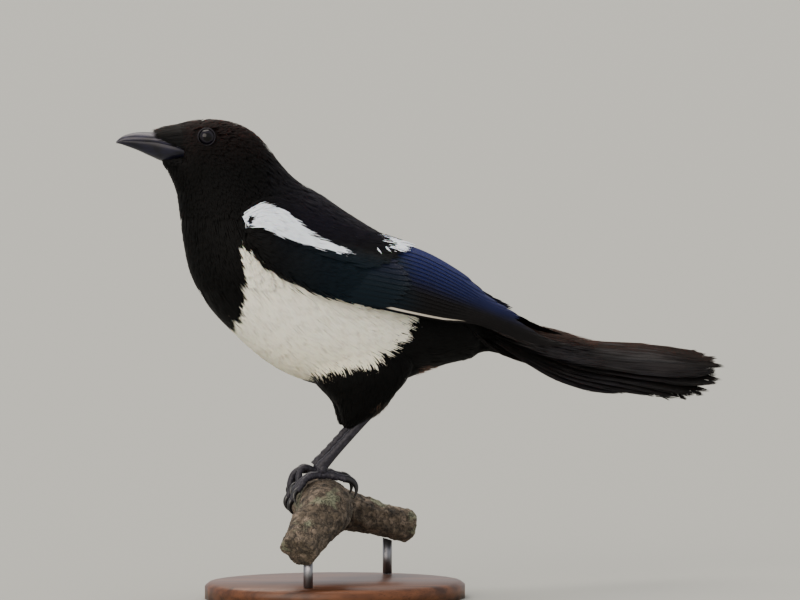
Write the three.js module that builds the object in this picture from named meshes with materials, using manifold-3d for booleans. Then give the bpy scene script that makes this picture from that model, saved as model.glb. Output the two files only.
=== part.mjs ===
// A Eurasian magpie, life size, as a still model: it grips a cut length of branch that two short
// rods hold over a flat base. Units are millimetres and +Z is up. The head points along -X, the
// bird's left side is towards -Y, and the origin is the middle of the base's underside.
import * as THREE from "three";
import { mergeVertices } from "three/addons/utils/BufferGeometryUtils.js";
import Module from "manifold-3d";

const wasm = await Module();
wasm.setup();

const GAP = 0.3; // left between neighbouring pieces
const ROUND_GAP = 0.43; // the same where both faces are curved and faceted
const TRIM = 0.1; // seams that a union leaves are thinned out this finely
const VANE = 0.5; // thickness of a feather's vane
const LAYER = 0.8; // from one overlapping vane to the next
const SIDES = { l: -1, r: 1 }; // the bird's left is towards -Y

// Head, neck and torso as ribs from the crown line to the throat and belly line:
// crown x, crown z, belly x, belly z, half width, sideways sway
const BODY = [
  [-98.4, 256.1, -97.3, 241.7, 5.4, 0],
  [-92.4, 258.8, -94.0, 237.9, 8.0, 0],
  [-84.6, 261.8, -90.7, 232.7, 11.2, 0],
  [-76.3, 263.3, -87.9, 226.1, 14.4, 0],
  [-66.9, 263.6, -86.3, 219.5, 16.2, 0],
  [-57.0, 262.2, -85.4, 212.3, 17.2, 0],
  [-47.0, 258.0, -84.3, 203.5, 18.8, 0],
  [-38.2, 250.0, -82.7, 192.5, 21.2, 0],
  [-30.4, 239.3, -79.9, 180.4, 24.5, 0],
  [-20.5, 229.4, -74.9, 169.4, 28.5, 0],
  [-7.2, 221.6, -66.9, 157.9, 31.2, 0],
  [8.3, 211.0, -54.7, 145.2, 32.5, 0],
  [25.0, 200.8, -38.2, 130.9, 32.5, 0],
  [40.0, 192.0, -19.4, 121.0, 30.5, 0],
  [52.5, 181.5, 5.5, 115.2, 26, 0],
  [63.0, 170.8, 33.0, 118.8, 20, 1],
  [72.5, 161.5, 57.0, 127.5, 14, 3.5],
  [82.5, 154.6, 77.0, 131.2, 9.5, 8],
];
const EGG = 0.12; // how much wider the belly half of a rib is than the back half
const NECK_FROM = 5.3; // rib numbers where the head, neck, torso and tail part
const TORSO_FROM = 8.4;
const TORSO_TO = 17;
const REACH_FROM = 6; // first rib that a wing lies beside
const HALVINGS = 30; // of the search for the rib at a given place

// Bill: where the culmen, the cutting edge and the underside run, base to tip:
// x, culmen z, cutting edge z, underside z, half width
const BILL = [
  [-80.0, 256.5, 246.6, 241.5, 10.6],
  [-87.4, 257.0, 248.7, 240.6, 9.9],
  [-94.6, 256.6, 250.5, 240.7, 8.0],
  [-100.6, 256.6, 251.5, 243.1, 6.0],
  [-108.4, 256.6, 251.9, 246.7, 4.2],
  [-114.5, 255.4, 251.9, 249.0, 2.7],
  [-118.0, 253.6, 251.5, 250.2, 1.4],
  [-120.2, 251.6, 250.9, 250.6, 0.4],
];

const EYE = { x: -71.2, z: 254.2, y: 9.6, radius: 5.4, facets: [14, 9] };
const LID = { radius: 4.9, tube: 0.8, out: 2.9, facing: [-0.12, 1, 0.05], facets: [4, 14] };
// flat locks that lie forward over the bill's base, in rows from the crown round to the gape
const BRISTLES = {
  rows: 2,
  perRow: 4,
  from: 1.6, // rib number of the first row's roots
  rowStep: 0.7,
  sink: 0.7, // how deep the roots lie under the skin
  turn: [0.16, 1.25], // place round the head, in radians from the crown
  reach: 2.95, // row of the bill's table that the tips reach
  reachStep: 0.6,
  over: 0.5, // height of the uppermost tips over the culmen
  low: [0.6, 0.8], // how high over the cutting edge the lowest ones end, and how far down they come
  beside: [0.25, 1.04], // share of the bill's half width where they lie
  bow: 0.9,
  width: 2.8,
  thickness: 0.9,
  steps: 2,
};
const LOCK = { taper: 0.9, tipWide: 0.1, tipDeep: 0.25 };

// Folded wing as a sheet outside the body, from the shoulder back to the wing tip:
// upper edge x, y, z, lower edge x, y, z, bulge between them; y is out from the middle
const WING = [
  [-52.5, 21, 211.8, -52.5, 24, 196.0, 1.5],
  [-37.1, 18, 218.4, -40.4, 30, 183.7, 4],
  [-16.6, 19, 209.6, -24.9, 34, 174.4, 6],
  [5.5, 16, 200.5, -5.5, 35.5, 167.8, 7.5],
  [28.0, 9, 195.0, 13.8, 35, 163.4, 9],
  [48.0, 5, 189.0, 34.3, 32.5, 158.4, 8.5],
  [67.4, 4, 178.0, 53.6, 28.5, 154.6, 7],
  [85.7, 4, 164.6, 73.5, 24, 151.2, 4],
  [104, 7, 157.4, 94.5, 19, 143.5, 1.5],
  [119, 9, 149.0, 113.5, 15, 137.8, 0.5],
  [133, 10, 144.6, 129.5, 13, 136.4, 0],
];
// The right wing's tip lies on the tail, which is swung under it.
const RIGHT_TIP = [
  [67.4, 4, 178.0, 53.6, 29.5, 155.6, 7],
  [86.2, 6, 165.9, 74.5, 29, 153.4, 4],
  [104, 12, 159.6, 95.5, 31, 147.5, 1.5],
  [119, 16, 152.0, 113.5, 27, 142.8, 0.5],
  [133, 19, 147.4, 129.5, 22, 140.0, 0],
];
const WING_CLEAR = 2; // least distance between the sheet and the torso
const SHEET_STEP = { row: 0.2, across: 0.06 }; // over which the sheet's slope is measured
// Tertials, secondaries and primaries that show, from the upper edge to the lower edge:
// the wing row that each one's tip reaches
const REMIGES_TO = [6.35, 7.2, 7.8, 7.95, 7.95, 7.85, 8.5, 9, 9.5, 9.9, 9.7, 9.1, 6.9];
const REMIGES_FROM = 3.9; // wing row where their roots are sunk
const REMIGES_OUT = 2.5; // how far they stand off the sheet
const REMIGES_ROOT = 0.9; // share of their width there
const REMIGES_FULL = 0.6; // rows before the tip where they are still at full width
const REMIGES_TIP = [[0.45, 0.88], [0.16, 0.55], [0, 0.1]]; // rows before the tip, width there
// Short vanes over them: wing rows from root to tip, place across the sheet of the first one and
// from one to the next, half width there, height off the sheet and lean over the one below
const COVERTS = {
  from: 3,
  to: [4.4, 4.75, 4.9, 4.9, 4.8, 4.6],
  first: 0.3,
  step: 0.124,
  half: 0.1054,
  out: 3.9,
  rise: 0,
  tilt: 0.7,
};
const ALULA = {
  from: 0.9,
  to: [2.4, 3.2],
  first: 0.9,
  step: -0.07,
  half: 0.09,
  out: 4.9,
  rise: LAYER,
  tilt: 0.3,
};
const SCAPULARS = {
  from: [0.6, 0.9, 1.2, 1.6, 2.0],
  to: [2.5, 3.0, 3.4, 3.7, 4.0],
  first: 0.4,
  step: -0.075,
  half: 0.15,
  out: 5.4,
  rise: 0.25,
  tilt: 0.5,
};
// The closed front of the wing: its last row, thickness out from the sheet and depth in from it,
// where it starts to thin and to how much, and how it rounds off at the front and at both edges
const ARM = {
  to: 4.4,
  thick: 5.2,
  edge: 1.2,
  deep: 6,
  thinFrom: 2.3,
  thin: 0.3,
  front: [0.12, 3],
  edges: [0.04, 0.93],
  edgePower: 0.4,
  steps: 9,
  across: 5,
};

// Tail: leaves the rump at the pivot, swung to the bird's right, rolled left side down
const TAIL = {
  pivot: [60.8, 0],
  swing: THREE.MathUtils.degToRad(27),
  lengths: [187, 182, 172, 157, 140, 118], // central pair to outer pair
  halfWidths: [12, 11, 10.5, 10, 9.5, 9],
  rootStep: 1.6,
  fan: { l: THREE.MathUtils.degToRad(1.2), r: THREE.MathUtils.degToRad(0.6) },
  rootAt: 26,
  out: 2.8,
  humpAt: 20,
};
const TAIL_LAYER = 0.85;
// middle line of the tail: distance from the pivot, height, roll in degrees, and how far the sheet
// drops TAIL.humpAt out from its middle
const TAIL_LINE = [
  [0, 158.5, 0, 2],
  [22, 149.5, 9, 6],
  [42, 142.0, 20, 6],
  [62, 135.6, 30, 4],
  [83, 130.6, 35, 1.5],
  [112, 127.2, 37, 0.8],
  [138, 124.9, 38, 2],
  [161, 123.0, 39, 3],
  [190, 121.8, 40, 3.5],
];
const TAIL_LAYERS = { l: [0, 2, 4, 5, 6, 7], r: [1, 3, 4, 5, 6, 7] };
// distance from the pivot, half width and half height of its fleshy root, and its drop below the sheet
const TAIL_ROOT = [[33, 9.8, 8.4, -2.6], [43, 9.6, 6.2, -2.2], [52, 8, 3.9, -1.6]];
const TAIL_ROOT_AROUND = 16;
const TAIL_COVERTS = {
  count: 3,
  from: 28,
  above: 62,
  below: 52,
  step: 6.4,
  half: 5.6,
  out: 4,
  rise: 0.4,
  sink: 0.3,
};

// Legs
const HIP_Y = 15;
const FOOT_Y = 12;
// feathered thigh: centre x, centre y, z, half length along x, half width
const THIGH = [
  [18, 10, 151, 12, 7],
  [17, 13, 141, 22, 12],
  [15, 14.5, 131, 27, 12.4],
  [13, HIP_Y, 121, 25, 11.6],
  [13, 14.6, 113.5, 18.6, 9.8],
  [13.6, 14.2, 107.5, 13.8, 7.8],
  [12, 13.8, 102.5, 10.6, 5.8],
  [8, 13.4, 98, 5.8, 3.6],
  [4.8, 13.2, 94.3, 0.9, 0.8],
];
const THIGH_AROUND = 12;
const SHANK = {
  top: [21.6, 13.6, 106.7],
  x: -8.3,
  z: 73.4,
  deep: 2.5,
  wide: 1.9,
  swell: 0.28, // at both joints
  scutes: 7,
  around: 8,
};
const SCUTE = { rise: 0.32, tail: 0.93 };
// the joint under the shank: how much wider it is, how far the middle ring is up it, and the
// share of its depth and width at each ring
const JOINT = { swell: 1.28, up: 0.35, rings: [[1, 1], [0.98, 1.12], [0.62, 0.8]], around: 8 };
const PERCH_AXIS = { x: -7, z: 50.5 };
const PERCH_R = 16; // where the feet hold it
const TOE_BASE = 1.8; // height of the toes' common root over the perch
const TOE = { waist: 0.84, taper: 0.84, around: 6 }; // narrowing between the pads and towards the claw
// toes: spread in degrees away from the middle of the body, length, claw length, radius
const TOES = [
  { name: "hallux", back: true, spread: 4, length: 14, claw: 12, radius: 1.9 },
  { name: "inner", back: false, spread: -21, length: 17, claw: 8, radius: 1.6 },
  { name: "middle", back: false, spread: 0, length: 24, claw: 9, radius: 1.75 },
  { name: "outer", back: false, spread: 21, length: 18.5, claw: 8, radius: 1.6 },
];
// how high the front toes arch over the perch; the right foot holds less tightly
const ARCH = { l: 1.4, r: 4.6 };
const ARCH_SHARE = 0.87; // of a toe's length, before its last joint lies flat again
const CLAW = {
  gap: 0.65, // to its toe's end face
  bow: 1, // height of the front claws' curve, and of the hallux's
  hook: 2.4,
  root: 0.74, // share of the toe's radius
  tip: 0.12,
  taper: 1.3,
  end: 0.5, // height of the tip over the perch
  steps: 5,
  around: 6,
};

// Perch and stand
const PERCH = [
  // x, y, z, radius
  [-25, -49, 29, 11.3],
  [-20.5, -42, 36, 12],
  [-14, -33, 43.5, 13.4],
  [-8, -24, 49.8, 15.4],
  [-7, -12, 50.5, PERCH_R],
  [-7, 0, 50.5, PERCH_R],
  [-7, 12, 50.5, PERCH_R],
  [-6, 23, 49.8, 15.2],
  [5, 31, 46.4, 12.6],
  [24, 37.5, 41, 10.6],
  [47, 43, 34.5, 9.6],
];
const PERCH_STEPS = { along: 22, around: 14 };
const SMOOTH = [12, 26]; // half length of the smooth stretch under the feet, where it ends
// knobs of the bark: height, the two waves round it and how they turn along it, lowered a little
const KNOBS = { height: 0.55, waves: [[3, 1.7], [5, -2.3]], low: 0.6 };
const BASE = { halfLength: 72, halfWidth: 56, height: 9, bevel: 2, around: 32 };
const ROD = { radius: 2.6, length: 60, around: 12, at: [[-18.5, -39], [33, 40]] };

const V = (x, y, z) => new THREE.Vector3(x, y, z);
const lerp = THREE.MathUtils.lerp;

// A table's row at any row number, on a smooth curve through its rows.
function rowAt(rows, t) {
  const last = rows.length - 1;
  const i = Math.min(Math.max(Math.floor(t), 0), last - 1);
  const f = t - i;
  const row = (k) => rows[Math.min(Math.max(k, 0), last)];
  return rows[0].map((_, c) => {
    const [a, b, d, e] = [row(i - 1)[c], row(i)[c], row(i + 1)[c], row(i + 2)[c]];
    return b + 0.5 * f * (d - a + f * (2 * a - 5 * b + 4 * d - e + f * (3 * (b - d) + e - a)));
  });
}

// A table's row where its first column has the value x.
function rowFor(rows, x) {
  let i = 0;
  while (i < rows.length - 2 && rows[i + 1][0] < x) i++;
  return rowAt(rows, i + (x - rows[i][0]) / (rows[i + 1][0] - rows[i][0]));
}

// A manifold-3d solid of a closed three.js geometry.
function solidOf(geometry) {
  const bare = new THREE.BufferGeometry().setIndex(geometry.index);
  bare.setAttribute("position", geometry.getAttribute("position"));
  const merged = mergeVertices(bare, 1e-4);
  return new wasm.Manifold(
    new wasm.Mesh({
      numProp: 3,
      vertProperties: new Float32Array(merged.attributes.position.array),
      triVerts: new Uint32Array(merged.index.array),
    }),
  );
}

// A closed solid through rings of points, with flat ends. The second half of each ring is split
// into triangles as the mirror image of the first, so that both faces of a thin vane are alike.
function loft(rings) {
  const n = rings[0].length;
  const points = rings.flat();
  const faces = [];
  for (let r = 0; r + 1 < rings.length; r++) {
    for (let i = 0; i < n; i++) {
      const [a, b] = [r * n + i, r * n + ((i + 1) % n)];
      if (i < n / 2) faces.push(a, b, b + n, a, b + n, a + n);
      else faces.push(a, b, a + n, b, b + n, a + n);
    }
  }
  const end = (rings.length - 1) * n;
  for (let i = 1; i + 1 < n; i++) faces.push(0, i + 1, i, end, end + i, end + i + 1);
  let volume = 0;
  for (let i = 0; i < faces.length; i += 3) {
    const [a, b, c] = [points[faces[i]], points[faces[i + 1]], points[faces[i + 2]]];
    volume += a.dot(V(0, 0, 0).crossVectors(b, c));
  }
  if (volume < 0) faces.reverse();
  const geometry = new THREE.BufferGeometry().setFromPoints(points).setIndex(faces);
  return solidOf(geometry);
}

// The largest closed surface of what a union or a cut leaves.
function largest(solid) {
  return solid.decompose().reduce((a, b) => (b.volume() > a.volume() ? b : a));
}

// One closed surface out of several that overlap. It is read back from its mesh, as a sliver that
// only touches the rest falls off there.
function fuse(pieces) {
  const joined = largest(wasm.Manifold.union(pieces).simplify(TRIM));
  return largest(new wasm.Manifold(joined.getMesh()));
}

// Body

function bodyPoint(t, angle, out = 0, along = 0) {
  const [tx, tz, lx, lz, half, sway] = rowAt(BODY, t);
  const tall = Math.hypot(tx - lx, tz - lz);
  const up = V((tx - lx) / tall, 0, (tz - lz) / tall);
  const back = V(up.z, 0, -up.x);
  const [c, s] = [Math.cos(angle), Math.sin(angle)];
  return V((tx + lx) / 2, sway, (tz + lz) / 2)
    .addScaledVector(up, c * (tall / 2 + out))
    .addScaledVector(V(0, 1, 0), s * (half + out) * (1 - EGG * c))
    .addScaledVector(back, along);
}

function bodyLoft(from, to, { out = 0, step = 0.5, around = 24, inFrom = 0, inTo = 0 } = {}) {
  const rings = [];
  const count = Math.ceil((to - from) / step);
  for (let r = 0; r <= count; r++) {
    const t = lerp(from, to, r / count);
    const along = r === 0 ? inFrom : r === count ? -inTo : 0;
    rings.push(
      Array.from({ length: around }, (_, i) => bodyPoint(t, (i / around) * 2 * Math.PI, out, along)),
    );
  }
  return loft(rings);
}

// How far the torso reaches out on one side at a place seen from the side; 0 above or below it.
function torsoReach(x, z, side) {
  const across = (t) => {
    const [tx, tz, lx, lz] = rowAt(BODY, t);
    return (lx - tx) * (z - tz) - (lz - tz) * (x - tx);
  };
  let [low, high] = [REACH_FROM, TORSO_TO];
  if (across(high) > 0 === across(low) > 0) return 0;
  for (let i = 0; i < HALVINGS; i++) {
    const mid = (low + high) / 2;
    if (across(mid) > 0 === across(low) > 0) low = mid;
    else high = mid;
  }
  const [tx, tz, lx, lz, half, sway] = rowAt(BODY, low);
  const share = ((x - tx) * (lx - tx) + (z - tz) * (lz - tz)) / ((lx - tx) ** 2 + (lz - tz) ** 2);
  const c = 1 - 2 * share;
  return Math.abs(c) >= 1 ? 0 : half * Math.sqrt(1 - c * c) * (1 - EGG * c) + side * sway;
}

// Bill

// half of a bill's section: share of its half width, share of its height
const BILL_SECTION = [[0.97, 0], [1, 0.25], [0.86, 0.58], [0.5, 0.88]];
const BILL_STEPS = 10;
const BILL_GAP = 0.85; // the bill's faces slope, so this much on its sizes leaves GAP between faces

// One half of the bill, made larger by out, with its cutting edge moved off the mouth line.
function billLoft(upper, out = 0, offMouth = GAP / 2) {
  const rings = [];
  const section = [
    ...BILL_SECTION,
    [0, 1],
    ...BILL_SECTION.map(([w, h]) => [-w, h]).reverse(),
  ];
  for (let r = 0; r <= BILL_STEPS; r++) {
    const q = r / BILL_STEPS;
    const [x, culmen, edge, under, half] = rowAt(BILL, q * (BILL.length - 1));
    const from = edge + (upper ? offMouth : -offMouth);
    const to = upper ? culmen + out : under - out;
    const end = r === 0 ? out : r === BILL_STEPS ? -out : 0;
    rings.push(section.map(([w, h]) => V(x + end, (half + out) * w, lerp(from, to, h))));
  }
  return loft(rings);
}

// Head: lids round the eyes, bristles over the bill's base

function eyeCentre(side) {
  return V(EYE.x, side * EYE.y, EYE.z);
}

function lidRing(side) {
  const [x, y, z] = LID.facing;
  const outward = V(x, side * y, z).normalize();
  const ring = new THREE.TorusGeometry(LID.radius, LID.tube, ...LID.facets);
  ring.applyQuaternion(new THREE.Quaternion().setFromUnitVectors(V(0, 0, 1), outward));
  const middle = eyeCentre(side).addScaledVector(outward, LID.out);
  return solidOf(ring.translate(middle.x, middle.y, middle.z));
}

// A flat pointed lock along a curve of three points, across a given direction.
function lock(points, across, { width, thickness, steps }) {
  const curve = new THREE.QuadraticBezierCurve3(...points);
  const rings = [];
  for (let r = 0; r <= steps; r++) {
    const q = r / steps;
    const half = (width / 2) * (r === steps ? LOCK.tipWide : Math.sqrt(1 - LOCK.taper * q * q));
    const deep = (thickness / 2) * (r === steps ? LOCK.tipDeep : 1);
    const tangent = curve.getTangent(q);
    const side = across.clone().addScaledVector(tangent, -across.dot(tangent)).normalize();
    const up = V(0, 0, 0).crossVectors(tangent, side);
    const middle = curve.getPoint(q);
    rings.push(
      [[1, 0], [0, 1], [-1, 0], [0, -1]].map(([a, b]) =>
        middle.clone().addScaledVector(side, a * half).addScaledVector(up, b * deep),
      ),
    );
  }
  return loft(rings);
}

// One bristle lock, given its row and how far down the side of the head it grows.
function bristle(side, row, down) {
  const { from, rowStep, turn, sink, reach, reachStep, over, low, beside, bow } = BRISTLES;
  const angle = side * lerp(...turn, down);
  const root = bodyPoint(from + row * rowStep, angle, -sink);
  const [x, culmen, edge, , half] = rowAt(BILL, reach - row * reachStep);
  const height = lerp(culmen + over, edge + low[0], down * low[1]);
  const tip = V(x, side * half * lerp(...beside, Math.sqrt(down)), height);
  const middle = root.clone().lerp(tip, 0.5).add(V(0, side * bow, bow * (1 - down)));
  const across = V(0, Math.cos(angle), -side * Math.sin(Math.abs(angle)));
  return lock([root, middle, tip], across, BRISTLES);
}

function bristles() {
  const locks = [];
  for (const side of Object.values(SIDES)) {
    for (let row = 0; row < BRISTLES.rows; row++) {
      for (let i = 0; i < BRISTLES.perRow; i++) locks.push(bristle(side, row, i / (BRISTLES.perRow - 1)));
    }
  }
  return locks;
}

// Vanes

// share of a short vane's length, share of its width
const SHORT_SHAPE = [[0, 0.7], [0.6, 1], [0.88, 0.66], [1, 0.1]];
const SHORT_THICK = 0.6;

// One feather on a sheet(along, across, out), three points wide and alike on both faces. Its
// shape lists where each ring is along the sheet and how wide the feather is there.
function vane(sheet, shape, { middle, half, out, tilt, thickness }) {
  const centre = typeof middle === "function" ? middle : () => middle;
  const rings = shape.map(([along, wide]) => {
    const face = (under) =>
      [-wide, 0, wide].map((e) => sheet(along, centre(along) + e * half, out + e * tilt - under));
    return [...face(0), ...face(thickness).reverse()];
  });
  return loft(rings);
}

// Wing

// The wing's sheet as a function of row, place across and height off it. It is straight between
// whole rows and between the middles of neighbouring feathers, so that vanes on it nest.
function wingSheet(side) {
  const rows = side > 0 ? [...WING.slice(0, -RIGHT_TIP.length), ...RIGHT_TIP] : WING;
  const count = REMIGES_TO.length;
  const bare = (row, v) => {
    const [tx, ty, tz, lx, ly, lz, bulge] = rowAt(rows, row);
    const [x, z] = [lerp(tx, lx, v), lerp(tz, lz, v)];
    const y = lerp(ty, ly, v) + 4 * bulge * v * (1 - v);
    return V(x, side * Math.max(y, torsoReach(x, z, side) + WING_CLEAR), z);
  };
  const smooth = (row, v, out) => {
    const { row: rowStep, across } = SHEET_STEP;
    const down = bare(row, Math.min(v + across, 1)).sub(bare(row, Math.max(v - across, 0)));
    const ahead = Math.min(row + rowStep, rows.length - 1);
    const back = bare(ahead, v).sub(bare(Math.max(row - rowStep, 0), v));
    const normal = V(0, 0, 0).crossVectors(down, back).normalize();
    if (normal.y * side < 0) normal.negate();
    return bare(row, v).addScaledVector(normal, out);
  };
  return (row, across, out) => {
    const v = THREE.MathUtils.clamp(across, 0, 1);
    const r = Math.min(Math.floor(row), rows.length - 2);
    const c = Math.floor(v * count - 0.5);
    const [v0, v1] = [Math.max(c + 0.5, 0) / count, Math.min(c + 1.5, count) / count];
    const edge = (k) => smooth(k, v0, out).lerp(smooth(k, v1, out), (v - v0) / (v1 - v0));
    return edge(r).lerp(edge(r + 1), row - r);
  };
}

// Tertials, secondaries and primaries, each over the one below it.
function remiges(sheet) {
  const spacing = 1 / REMIGES_TO.length;
  return REMIGES_TO.map((to, k) => {
    const shape = [[REMIGES_FROM, REMIGES_ROOT]];
    for (let row = Math.ceil(REMIGES_FROM); row < to - REMIGES_FULL; row++) shape.push([row, 1]);
    for (const [before, wide] of REMIGES_TIP) shape.push([to - before, wide]);
    const middle = (k + 0.5) * spacing;
    return vane(sheet, shape, { middle, half: spacing, out: REMIGES_OUT, tilt: LAYER, thickness: VANE });
  });
}

// A row of short vanes, each from and to a distance along a sheet.
function shortVanes(sheet, count, place) {
  return Array.from({ length: count }, (_, k) => {
    const { from, to, ...rest } = place(k);
    const shape = SHORT_SHAPE.map(([q, wide]) => [lerp(from, to, q), wide]);
    return vane(sheet, shape, { tilt: 0, thickness: SHORT_THICK, ...rest });
  });
}

// One tier of the wing's short feathers, from its table.
function tier(sheet, { from, to, first, step, half, out, rise, tilt }) {
  return shortVanes(sheet, to.length, (k) => ({
    from: Array.isArray(from) ? from[k] : from,
    to: to[k],
    middle: first + k * step,
    half,
    out: out + k * rise,
    tilt,
  }));
}

function wing(side) {
  const sheet = wingSheet(side);
  const tiers = [COVERTS, ALULA, SCAPULARS].flatMap((table) => tier(sheet, table));
  const shoulder = largest(arm(sheet).subtract(bodySpace));
  return fuse([shoulder, ...remiges(sheet), ...tiers]);
}

// The closed front of the wing, with the shoulder, that the vanes grow from.
function arm(sheet) {
  const rings = [];
  for (let r = 0; r <= ARM.steps; r++) {
    const row = (ARM.to * r) / ARM.steps;
    const round = Math.sqrt(Math.min(1, ARM.front[0] + (ARM.front[1] * r) / ARM.steps));
    const thinning = lerp(1, ARM.thin, THREE.MathUtils.smoothstep(row, ARM.thinFrom, ARM.to));
    const [outer, inner] = [[], []];
    for (let i = 0; i <= ARM.across; i++) {
      const v = i / ARM.across;
      const edge = Math.pow(Math.sin(Math.PI * lerp(...ARM.edges, v)), ARM.edgePower);
      outer.push(sheet(row, v, ARM.edge + ARM.thick * round * thinning * edge));
      inner.push(sheet(row, v, -ARM.deep * edge * round));
    }
    rings.push([...outer, ...inner.reverse()]);
  }
  return loft(rings);
}

// Tail

function tailSheet(along, across, out) {
  const [, height, roll, hump] = rowFor(TAIL_LINE, along);
  const lean = THREE.MathUtils.degToRad(roll);
  const back = V(Math.cos(TAIL.swing), Math.sin(TAIL.swing), 0);
  const left = V(back.y, -back.x, 0);
  const side = left.clone().multiplyScalar(Math.cos(lean)).add(V(0, 0, -Math.sin(lean)));
  const up = V(0, 0, Math.cos(lean)).addScaledVector(left, Math.sin(lean));
  return V(TAIL.pivot[0], TAIL.pivot[1], height)
    .addScaledVector(back, along)
    .addScaledVector(side, across)
    .addScaledVector(up, out - hump * (across / TAIL.humpAt) ** 2);
}

// share of a tail feather's length, share of its width
const TAIL_SHAPE = [[0, 0.36], [0.16, 0.56], [0.38, 0.82], [0.62, 1], [0.84, 0.9], [0.95, 0.5], [1, 0.07]];

// Each pair lies under the one inside it; the middle line of a feather spreads from the root.
function tailFeathers() {
  return Object.entries(SIDES).flatMap(([name, side]) =>
    TAIL.lengths.map((length, k) => {
      const shape = TAIL_SHAPE.map(([q, wide]) => [lerp(TAIL.rootAt, length, q), wide]);
      const spread = Math.sin(TAIL.fan[name]);
      return vane(tailSheet, shape, {
        middle: (s) => -side * (k + 0.5) * (TAIL.rootStep + (s - TAIL.rootAt) * spread),
        half: TAIL.halfWidths[k],
        out: TAIL.out - TAIL_LAYER * TAIL_LAYERS[name][k],
        tilt: 0,
        thickness: VANE,
      });
    }),
  );
}

// Short feathers over and under the roots of the tail.
function tailCoverts() {
  const { count, from, above, below, step, half, out, rise, sink } = TAIL_COVERTS;
  return [1, -1].flatMap((way) =>
    shortVanes(tailSheet, count, (k) => {
      const place = k - (count - 1) / 2;
      return {
        from,
        to: (way > 0 ? above : below) - step * Math.abs(place),
        middle: place * step,
        half,
        out: way * (out + rise * Math.abs(place)) - sink,
      };
    }),
  );
}

// The fleshy root of the tail, from the torso's end face, turning into the tail's own section.
function tailRoot() {
  const around = TAIL_ROOT_AROUND;
  const turn = Array.from({ length: around }, (_, i) => (i / around) * 2 * Math.PI);
  const rings = [turn.map((angle) => bodyPoint(TORSO_TO, angle, 0, GAP))];
  for (const [along, wide, tall, drop] of TAIL_ROOT) {
    rings.push(turn.map((a) => tailSheet(along, -wide * Math.sin(a), drop + tall * Math.cos(a))));
  }
  return loft(rings);
}

function tail() {
  return fuse([tailRoot(), ...tailFeathers(), ...tailCoverts()]);
}

// Legs

function ellipseRing(x, y, z, rx, ry, around) {
  return Array.from({ length: around }, (_, i) => {
    const angle = (i / around) * 2 * Math.PI;
    return V(x + rx * Math.cos(angle), y + ry * Math.sin(angle), z);
  });
}

function thigh(side) {
  return loft(THIGH.map(([x, y, z, rx, ry]) => ellipseRing(x, side * y, z, rx, ry, THIGH_AROUND)));
}

function shankFrame(side) {
  const [x, y, z] = SHANK.top;
  const top = V(x, side * y, z);
  const foot = V(SHANK.x, side * FOOT_Y, SHANK.z);
  const down = foot.clone().sub(top).normalize();
  const across = V(0, 1, 0).addScaledVector(down, -down.y).normalize();
  const front = V(0, 0, 0).crossVectors(across, down);
  if (front.x > 0) front.negate();
  return { top, foot, down, across, front, length: top.distanceTo(foot) };
}

// The shank with its row of scutes down the front, each a step in the outline.
function shank(side, out = 0) {
  const { top, down, across, front, length } = shankFrame(side);
  const rings = [];
  const { around } = SHANK;
  const add = (q, raised, along = 0) => {
    const swell = 1 + SHANK.swell * Math.pow(Math.abs(2 * q - 1), 3);
    rings.push(
      Array.from({ length: around }, (_, k) => {
        const angle = (k / around) * 2 * Math.PI;
        const deep = SHANK.deep * swell + out + raised * Math.max(0, Math.cos(angle));
        return top
          .clone()
          .addScaledVector(down, q * length + along)
          .addScaledVector(front, deep * Math.cos(angle))
          .addScaledVector(across, (SHANK.wide * swell + out) * Math.sin(angle));
      }),
    );
  };
  for (let i = 0; i < SHANK.scutes; i++) {
    add(i / SHANK.scutes, SCUTE.rise, i === 0 ? -out : 0);
    add((i + SCUTE.tail) / SHANK.scutes, 0);
  }
  add(1, 0);
  return loft(rings);
}

// A point over the perch: angle from its top towards the head, distance along it, height off it.
function onPerch(angle, y, out) {
  const reach = PERCH_R + GAP + out;
  return V(PERCH_AXIS.x - reach * Math.sin(angle), y, PERCH_AXIS.z + reach * Math.cos(angle));
}

// Where a toe runs: distance from its root and height over the perch to a point.
function toePath(side, toe) {
  const turn = THREE.MathUtils.degToRad(toe.spread) * side;
  const start = (PERCH_AXIS.x - SHANK.x) / PERCH_R;
  const forward = (toe.back ? -1 : 1) * Math.cos(turn);
  return (distance, out) =>
    onPerch(
      start + (forward * distance) / (PERCH_R + TOE_BASE),
      side * FOOT_Y + distance * Math.sin(turn),
      out,
    );
}

function toeArch(name, toe, q) {
  return toe.back ? 0 : ARCH[name] * Math.sin(Math.PI * Math.min(q / ARCH_SHARE, 1)) ** 2;
}

// A round tube through points, with a radius at each.
function tube(points, radii, around) {
  const rings = points.map((point, i) => {
    const ahead = points[Math.min(i + 1, points.length - 1)];
    const behind = points[Math.max(i - 1, 0)];
    const tangent = ahead.clone().sub(behind).normalize();
    const across = V(0, 1, 0).addScaledVector(tangent, -tangent.y).normalize();
    const up = V(0, 0, 0).crossVectors(tangent, across);
    return Array.from({ length: around }, (_, k) => {
      const angle = (k / around) * 2 * Math.PI;
      return point
        .clone()
        .addScaledVector(across, radii[i] * Math.cos(angle))
        .addScaledVector(up, radii[i] * Math.sin(angle));
    });
  });
  return loft(rings);
}

function toeTube(name, side, toe) {
  const path = toePath(side, toe);
  const steps = toe.back ? 4 : 6;
  const [points, radii] = [[], []];
  for (let j = 0; j <= steps; j++) {
    const q = j / steps;
    points.push(path(toe.length * q, lerp(TOE_BASE, toe.radius, q) + toeArch(name, toe, q)));
    radii.push(toe.radius * (j % 2 ? TOE.waist : 1) * lerp(1, TOE.taper, q));
  }
  return tube(points, radii, TOE.around);
}

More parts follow.
